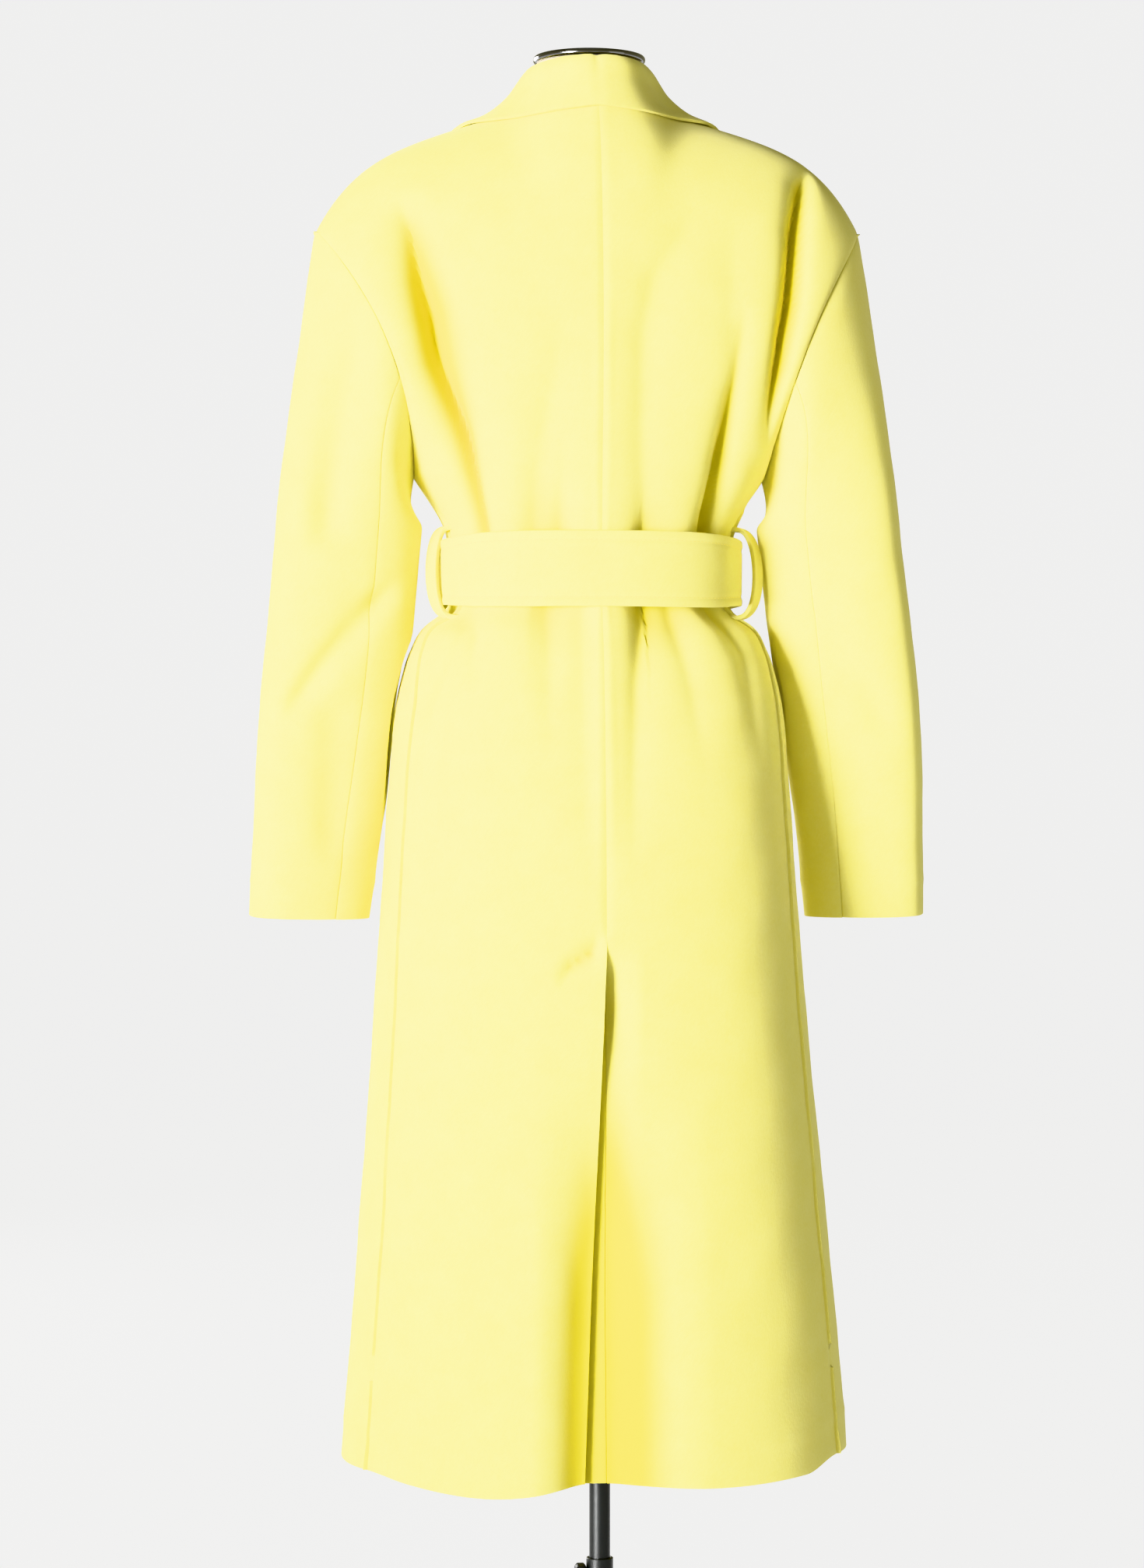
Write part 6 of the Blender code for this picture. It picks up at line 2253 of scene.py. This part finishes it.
@dataclass
class DressForm:
    """The limbless form under the coat: linen torso and neck cap, on the flange that the stand builds."""

    body: CoatBody
    sections: tuple[FormSection, ...] = (
        FormSection(0.780, 0.1440, 0.098, 0.092, 2.2),
        FormSection(0.800, 0.1540, 0.107, 0.099, 2.2),
        FormSection(0.860, 0.1580, 0.113, 0.102, 2.2),
        FormSection(0.930, 0.1520, 0.108, 0.099, 2.2),
        FormSection(1.000, 0.1360, 0.094, 0.093, 2.2),
        FormSection(1.060, 0.1120, 0.077, 0.085, 2.2),
        FormSection(1.112, 0.1000, 0.068, 0.079, 2.2),
        FormSection(1.170, 0.1080, 0.074, 0.090, 2.2),
        FormSection(1.240, 0.1260, 0.086, 0.111, 2.2),
        FormSection(1.280, 0.1340, 0.090, 0.117, 2.2),
        FormSection(1.340, 0.1450, 0.091, 0.105, 2.2),
        FormSection(1.400, 0.1640, 0.082, 0.084, 2.0),
        FormSection(1.440, 0.1730, 0.066, 0.062, 1.8),
    )
    shoulder_shares: tuple[float, ...] = (0.50, 0.39, 0.27, 0.14)
    shoulder_depths: tuple[float, float] = (0.040, 0.036)
    shoulder_squareness: float = 1.5
    under_coat: float = 0.0039
    neck: tuple[FormSection, ...] = (
        FormSection(1.5040, 0.0590, 0.056, 0.052, 2.0),
        FormSection(1.5150, 0.0510, 0.050, 0.048, 2.0),
        FormSection(1.5310, 0.0470, 0.046, 0.045, 2.0),
        FormSection(1.5525, 0.0455, 0.045, 0.045, 2.0),
    )
    rings: int = 6
    columns: int = 128
    seam_dip: float = 0.0006
    seam_width_deg: float = 1.6
    seam_radius: float = 0.1
    edge_round: float = 0.003
    edge_segments: int = 4
    edge_angle_deg: float = 50.0
    cap_radius: float = 0.0485
    cap_tall: float = 0.0062
    cap_round: float = 0.0028
    cap_gap: float = 0.0003
    cap_dome: float = 0.0010
    cap_steps: int = 17

    def all_sections(self) -> Array:
        """All sections from the seat to the neck.

        Returns:
            A row of numbers for each section.
        """
        rows = [tuple(section) for section in self.sections]
        tip = SHOULDER_POINTS[RIGHT].x
        for share in self.shoulder_shares:
            x = np.float64(mix(self.body.neck_half_width, tip, share))
            height = min(float(self.body.shoulder_height(side, x)) for side in SIDES) - self.under_coat
            rows.append((height, float(x), *self.shoulder_depths, self.shoulder_squareness))
        return np.array(rows + [tuple(section) for section in self.neck])

    def build(self) -> None:
        """Builds the linen torso and the neck cap."""
        table = self.all_sections()
        count = len(table) - 1
        at = np.linspace(0.0, count, count * self.rings + 1)
        read = np.stack([np.interp(at, np.arange(count + 1), column) for column in table.T], axis=1)
        angle = np.linspace(0.0, 2 * math.pi, self.columns, endpoint=False)
        depth = np.where(np.sin(angle) >= 0, read[:, 2:3], read[:, 3:4])
        power = 2 / read[:, 4:5]
        x = read[:, 1:2] * signed_power(np.cos(angle)[None, :], power)
        y = depth * signed_power(np.sin(angle)[None, :], power)
        points = grid(x, y, read[:, :1])
        eighth = QUARTER_DEG / 2
        from_seam = np.abs((np.degrees(angle) + eighth) % QUARTER_DEG - eighth)
        dip = 1 - self.seam_dip * hump(from_seam, self.seam_width_deg) / self.seam_radius
        points[..., :2] *= dip[None, :, None]
        mesh = bpy.data.meshes.new("linen_torso")
        rows = len(at)
        index = np.arange(rows * self.columns).reshape(rows, self.columns)
        after = np.roll(index, -1, axis=1)
        quads = np.stack([index[:-1], after[:-1], after[1:], index[1:]], axis=-1).reshape(-1, 4)
        faces = quads.tolist() + [index[0, ::-1].tolist(), index[-1].tolist()]
        mesh.from_pydata(points.reshape(-1, 3).tolist(), [], faces)
        mesh.polygons.foreach_set("use_smooth", np.ones(len(faces), bool))
        # An empty painted shade share, so the linen gets no painted fold shade.
        mesh.attributes.new("crease", "FLOAT", "POINT")
        made = place_piece("linen_torso", mesh, LINEN)
        round_edges(made, self.edge_round, self.edge_segments, self.edge_angle_deg)
        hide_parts("form_torso")
        self.build_cap(table[-1, 0])

    def build_cap(self, neck_top: float) -> None:
        """Builds the neck cap.

        Args:
            neck_top: Height of the neck's end.
        """
        low = neck_top + self.cap_gap
        high = low + self.cap_tall
        turns = np.linspace(-math.pi / 2, math.pi / 2, self.cap_steps)
        radii = self.cap_radius - self.cap_round + self.cap_round * np.cos(turns)
        levels = (low + high) / 2 + self.cap_tall / 2 * np.sin(turns)
        inner = self.cap_radius - 3 * self.cap_round
        profile = [(0.0, low)] + list(zip(radii, levels))
        profile += [(inner, high + self.cap_dome / 3), (0.0, high + self.cap_dome)]
        made = turned("chrome_neck_cap", profile, CHROME, FORM_SHIFT, "form")
        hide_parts("neck_cap")


TURN_MERGE = 0.00001
TURN_EDGE_DEG = 40.0
TURN_EDGE_SEGMENTS = 3


def turned(
    name: str,
    profile: list[tuple[float, float]],
    finish: HardFinish,
    shift: Array,
    body: str,
    steps: int = 96,
    edge: float = 0.0,
) -> Object:
    """A piece turned about Z.

    Args:
        name: The piece's name.
        profile: Points of radius and height, from axis to axis.
        finish: Its finish.
        shift: Where its axis stands.
        body: The body that it rides on.
        steps: Steps in a full turn.
        edge: How far its edges are rounded.

    Returns:
        The new object.
    """
    builder = spun(profile, steps, TURN_MERGE)
    bmesh.ops.recalc_face_normals(builder, faces=builder.faces[:])
    mesh = smooth_mesh(name, builder)
    mesh.set_sharp_from_angle(angle=math.radians(TURN_EDGE_DEG))
    made = place_piece(name, mesh, finish, shift, body)
    if edge > 0:
        round_edges(made, edge, TURN_EDGE_SEGMENTS, TURN_EDGE_DEG)
    return made


@dataclass
class Stand:
    """Flange, pole, outer tube, clamp knob and round base."""

    pole_radius: float = 0.0090
    pole_foot: float = 0.100
    seat: float = 0.7797
    flange_radius: float = 0.045
    flange_tall: float = 0.006
    hub_radius: float = 0.018
    hub_tall: float = 0.030
    clear: float = 0.0003
    tube_radius: float = 0.0116
    tube_bore: float = 0.0094
    tube_top: float = 0.265
    tube_foot: float = 0.0125
    knob_height: float = 0.2430
    knob_radius: float = 0.0172
    knob_thick: float = 0.0092
    knob_face: float = 0.0121
    knob_cut: float = 0.0018
    knob_steps: int = 120
    knob_flutes: int = 10
    flute_depth: float = 0.0011
    screw_radius: float = 0.0035
    base_radius: float = 0.170
    base_edge: float = 0.006
    base_tall: float = 0.018
    base_chamfer: float = 0.002
    base_hub_radius: float = 0.026
    base_hub_top: float = 0.050
    edge: float = 0.0006

    def build(self) -> None:
        """Builds all pieces of the stand on the pole's axis."""
        hub = self.seat - self.flange_tall
        bore = self.pole_radius + self.clear
        low = hub - self.hub_tall
        flange = [(0.0, hub), (bore, hub), (bore, low), (self.hub_radius, low), (self.hub_radius, hub)]
        flange += [(self.flange_radius, hub), (self.flange_radius, self.seat), (0.0, self.seat)]
        self.metal("black_flange", flange, "form", "form_flange")
        top = hub - self.clear
        foot = self.pole_foot
        pole = [(0.0, foot), (self.pole_radius, foot), (self.pole_radius, top), (0.0, top)]
        self.metal("black_pole", pole, "mast", "pole")
        low, high = self.tube_foot, self.tube_top
        bore, rim = self.tube_bore, self.tube_radius
        tube = [(bore, low), (rim, low), (rim, high), (bore, high), (bore, low)]
        self.metal("black_tube", tube, "stand", "outer_tube")
        self.build_base()
        self.build_knob()

    def metal(self, name: str, profile: list[tuple[float, float]], body: str, node: str) -> None:
        """Builds one turned metal piece that rides on a body and stands for a node."""
        made = turned(name, profile, BLACK_METAL, STAND_AXIS, body, edge=self.edge)
        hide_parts(node)

    def build_base(self) -> None:
        """Builds the round base with the socket of the tube."""
        cut = self.base_chamfer
        socket = self.tube_radius + self.clear
        profile = [
            (0.0, 0.0),
            (self.base_radius - cut, 0.0),
            (self.base_radius, cut),
            (self.base_radius, self.base_edge),
            (self.base_radius - 3 * cut, self.base_edge + 2 * cut),
            (self.base_hub_radius + 5 * cut, self.base_tall),
            (self.base_hub_radius, self.base_tall + 4 * cut),
            (self.base_hub_radius - 3 * cut, self.base_hub_top),
            (socket, self.base_hub_top),
            (socket, self.tube_foot - self.clear),
            (0.0, self.tube_foot - self.clear),
        ]
        self.metal("black_base", profile, "stand", "base")

    def build_knob(self) -> None:
        """Builds the fluted clamp knob with its screw, laid along X."""
        tip = self.pole_radius + self.clear
        grip = self.knob_face + self.knob_thick
        cut = self.knob_cut
        rim = self.knob_radius
        profile = [(0.0, tip), (self.screw_radius, tip), (self.screw_radius, self.knob_face)]
        profile += [(rim - cut, self.knob_face), (rim, self.knob_face + cut)]
        profile += [(rim, grip - cut), (rim - cut, grip), (0.0, grip)]
        made = turned(
            "black_knob", profile, BLACK_PLASTIC, STAND_AXIS, "knob", steps=self.knob_steps, edge=self.edge
        )
        for vert in made.data.vertices:
            radius = math.hypot(vert.co.x, vert.co.y)
            if radius > 2 * self.screw_radius:
                turn = math.atan2(vert.co.y, vert.co.x) * self.knob_flutes
                size = 1 - self.flute_depth / self.knob_radius * max(0.0, math.cos(turn))
                vert.co.x *= size
                vert.co.y *= size
            vert.co = Vector((vert.co.z, vert.co.y, self.knob_height - vert.co.x))
        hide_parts("clamp_knob")


@dataclass
class Studio:
    """A pale room all round, soft light and the camera."""

    target: Guide = Guide(0.024, 0.0, 0.931)
    azimuth_deg: float = 174.0
    distance: float = 3.6
    lens: float = 96.0
    sensor: float = 36.0
    wall_radius: float = 9.0
    wall_tall: float = 8.0
    corner: float = 1.2
    corner_steps: int = 12
    round_steps: int = 96
    merge: float = 0.0001
    world: float = 0.55
    overhead: float = 0.30
    below: float = 1.15
    warm: Colour = (1.0, 0.95, 0.62, 1.0)
    lamps: tuple[Lamp, ...] = (
        Lamp("key", Guide(4.85, 4.38, 0.50), Guide(0.0, 0.0, 0.68), 3.0, 140.0, 30.0),
        Lamp("fill", Guide(-2.8, 2.2, 1.4), Guide(0.0, 0.0, 0.9), 2.2, 8.0, 180.0),
        Lamp("front", Guide(2.6, -4.4, 1.6), Guide(0.0, 0.0, 0.9), 2.4, 190.0, 180.0),
        Lamp("top", Guide(0.3, 0.6, 3.6), Guide(0.0, 0.0, 1.2), 2.0, 1.0, 180.0),
    )

    def build(self) -> None:
        """Builds room, lights and camera, and sets how tones are shown."""
        self.build_room()
        self.build_world()
        for lamp in self.lamps:
            self.build_lamp(lamp)
        self.build_camera()
        view = bpy.context.scene.view_settings
        view.view_transform = "Khronos PBR Neutral"
        view.look = "None"
        view.exposure = 0.0
        view.gamma = 1.0

    def build_room(self) -> None:
        """Builds the pale floor, and the pale wall all round that only the camera sees."""
        flat = self.wall_radius - self.corner
        bend = np.linspace(0.0, math.pi / 2, self.corner_steps)
        wall = [(flat + self.corner * math.sin(turn), self.corner * (1 - math.cos(turn))) for turn in bend]
        self.round_sheet("floor", [(0.0, 0.0), (flat, 0.0)], True)
        self.round_sheet("wall", wall + [(self.wall_radius, self.wall_tall)], False)

    def round_sheet(self, name: str, profile: list[tuple[float, float]], gives_light: bool) -> None:
        """Builds one pale sheet turned about Z.

        Args:
            name: Its name.
            profile: Points of radius and height.
            gives_light: Whether it lights and shades the coat.
        """
        mesh = smooth_mesh(name, spun(profile, self.round_steps, self.merge))
        mesh.materials.append(PAPER.material())
        sheet = bpy.data.objects.new(name, mesh)
        sheet.visible_diffuse = gives_light
        sheet.visible_glossy = gives_light
        sheet.visible_shadow = gives_light
        bpy.context.scene.collection.objects.link(sheet)

    def build_world(self) -> None:
        """Builds the even light of the room, stronger from below than from above."""
        world = bpy.data.worlds.new("studio")
        world.use_nodes = True
        nodes = NodeTree(world.node_tree)
        way = nodes.add("ShaderNodeTexCoord").outputs["Generated"]
        height = nodes.add("ShaderNodeSeparateXYZ", {"Vector": way}).outputs["Z"]
        limits = {"From Min": -1.0, "To Min": self.world * self.below, "To Max": self.world * self.overhead}
        strength = nodes.add("ShaderNodeMapRange", {"Value": height, **limits}).outputs["Result"]
        nodes.give(world.node_tree.nodes["Background"], {"Color": self.warm, "Strength": strength})
        bpy.context.scene.world = world

    def build_lamp(self, lamp: Lamp) -> None:
        """Builds one soft light.

        Args:
            lamp: Its place and power.
        """
        data = bpy.data.lights.new(lamp.name, "AREA")
        data.shape = "SQUARE"
        data.size = lamp.size
        data.energy = lamp.power
        data.spread = math.radians(lamp.spread_deg)
        made = bpy.data.objects.new(lamp.name, data)
        made.location = lamp.place
        made.rotation_euler = (Vector(lamp.aim) - Vector(lamp.place)).to_track_quat("-Z", "Y").to_euler()
        made.visible_camera = False
        bpy.context.scene.collection.objects.link(made)

    def build_camera(self) -> None:
        """Builds the camera at the photograph's angle."""
        data = bpy.data.cameras.new("camera")
        data.lens = self.lens
        data.sensor_width = self.sensor
        turn = math.radians(self.azimuth_deg)
        back = Vector((math.sin(turn), -math.cos(turn), 0.0))
        camera = bpy.data.objects.new("camera", data)
        camera.location = Vector(self.target) + back * self.distance
        camera.rotation_euler = (-back).to_track_quat("-Z", "Y").to_euler()
        bpy.context.scene.collection.objects.link(camera)
        bpy.context.scene.camera = camera


def main() -> None:
    """Builds the coat, its form, the stand and the studio in order."""
    logging.basicConfig(level=logging.INFO, format="%(name)s %(message)s")
    Studio().build()
    body = CoatBody(ClothMaker())
    body.build()
    Collar(body).build()
    Lapels(body).build()
    Belt(body, Stitching()).build()
    DressForm(body).build()
    Stand().build()


if __name__ == "__main__":
    main()
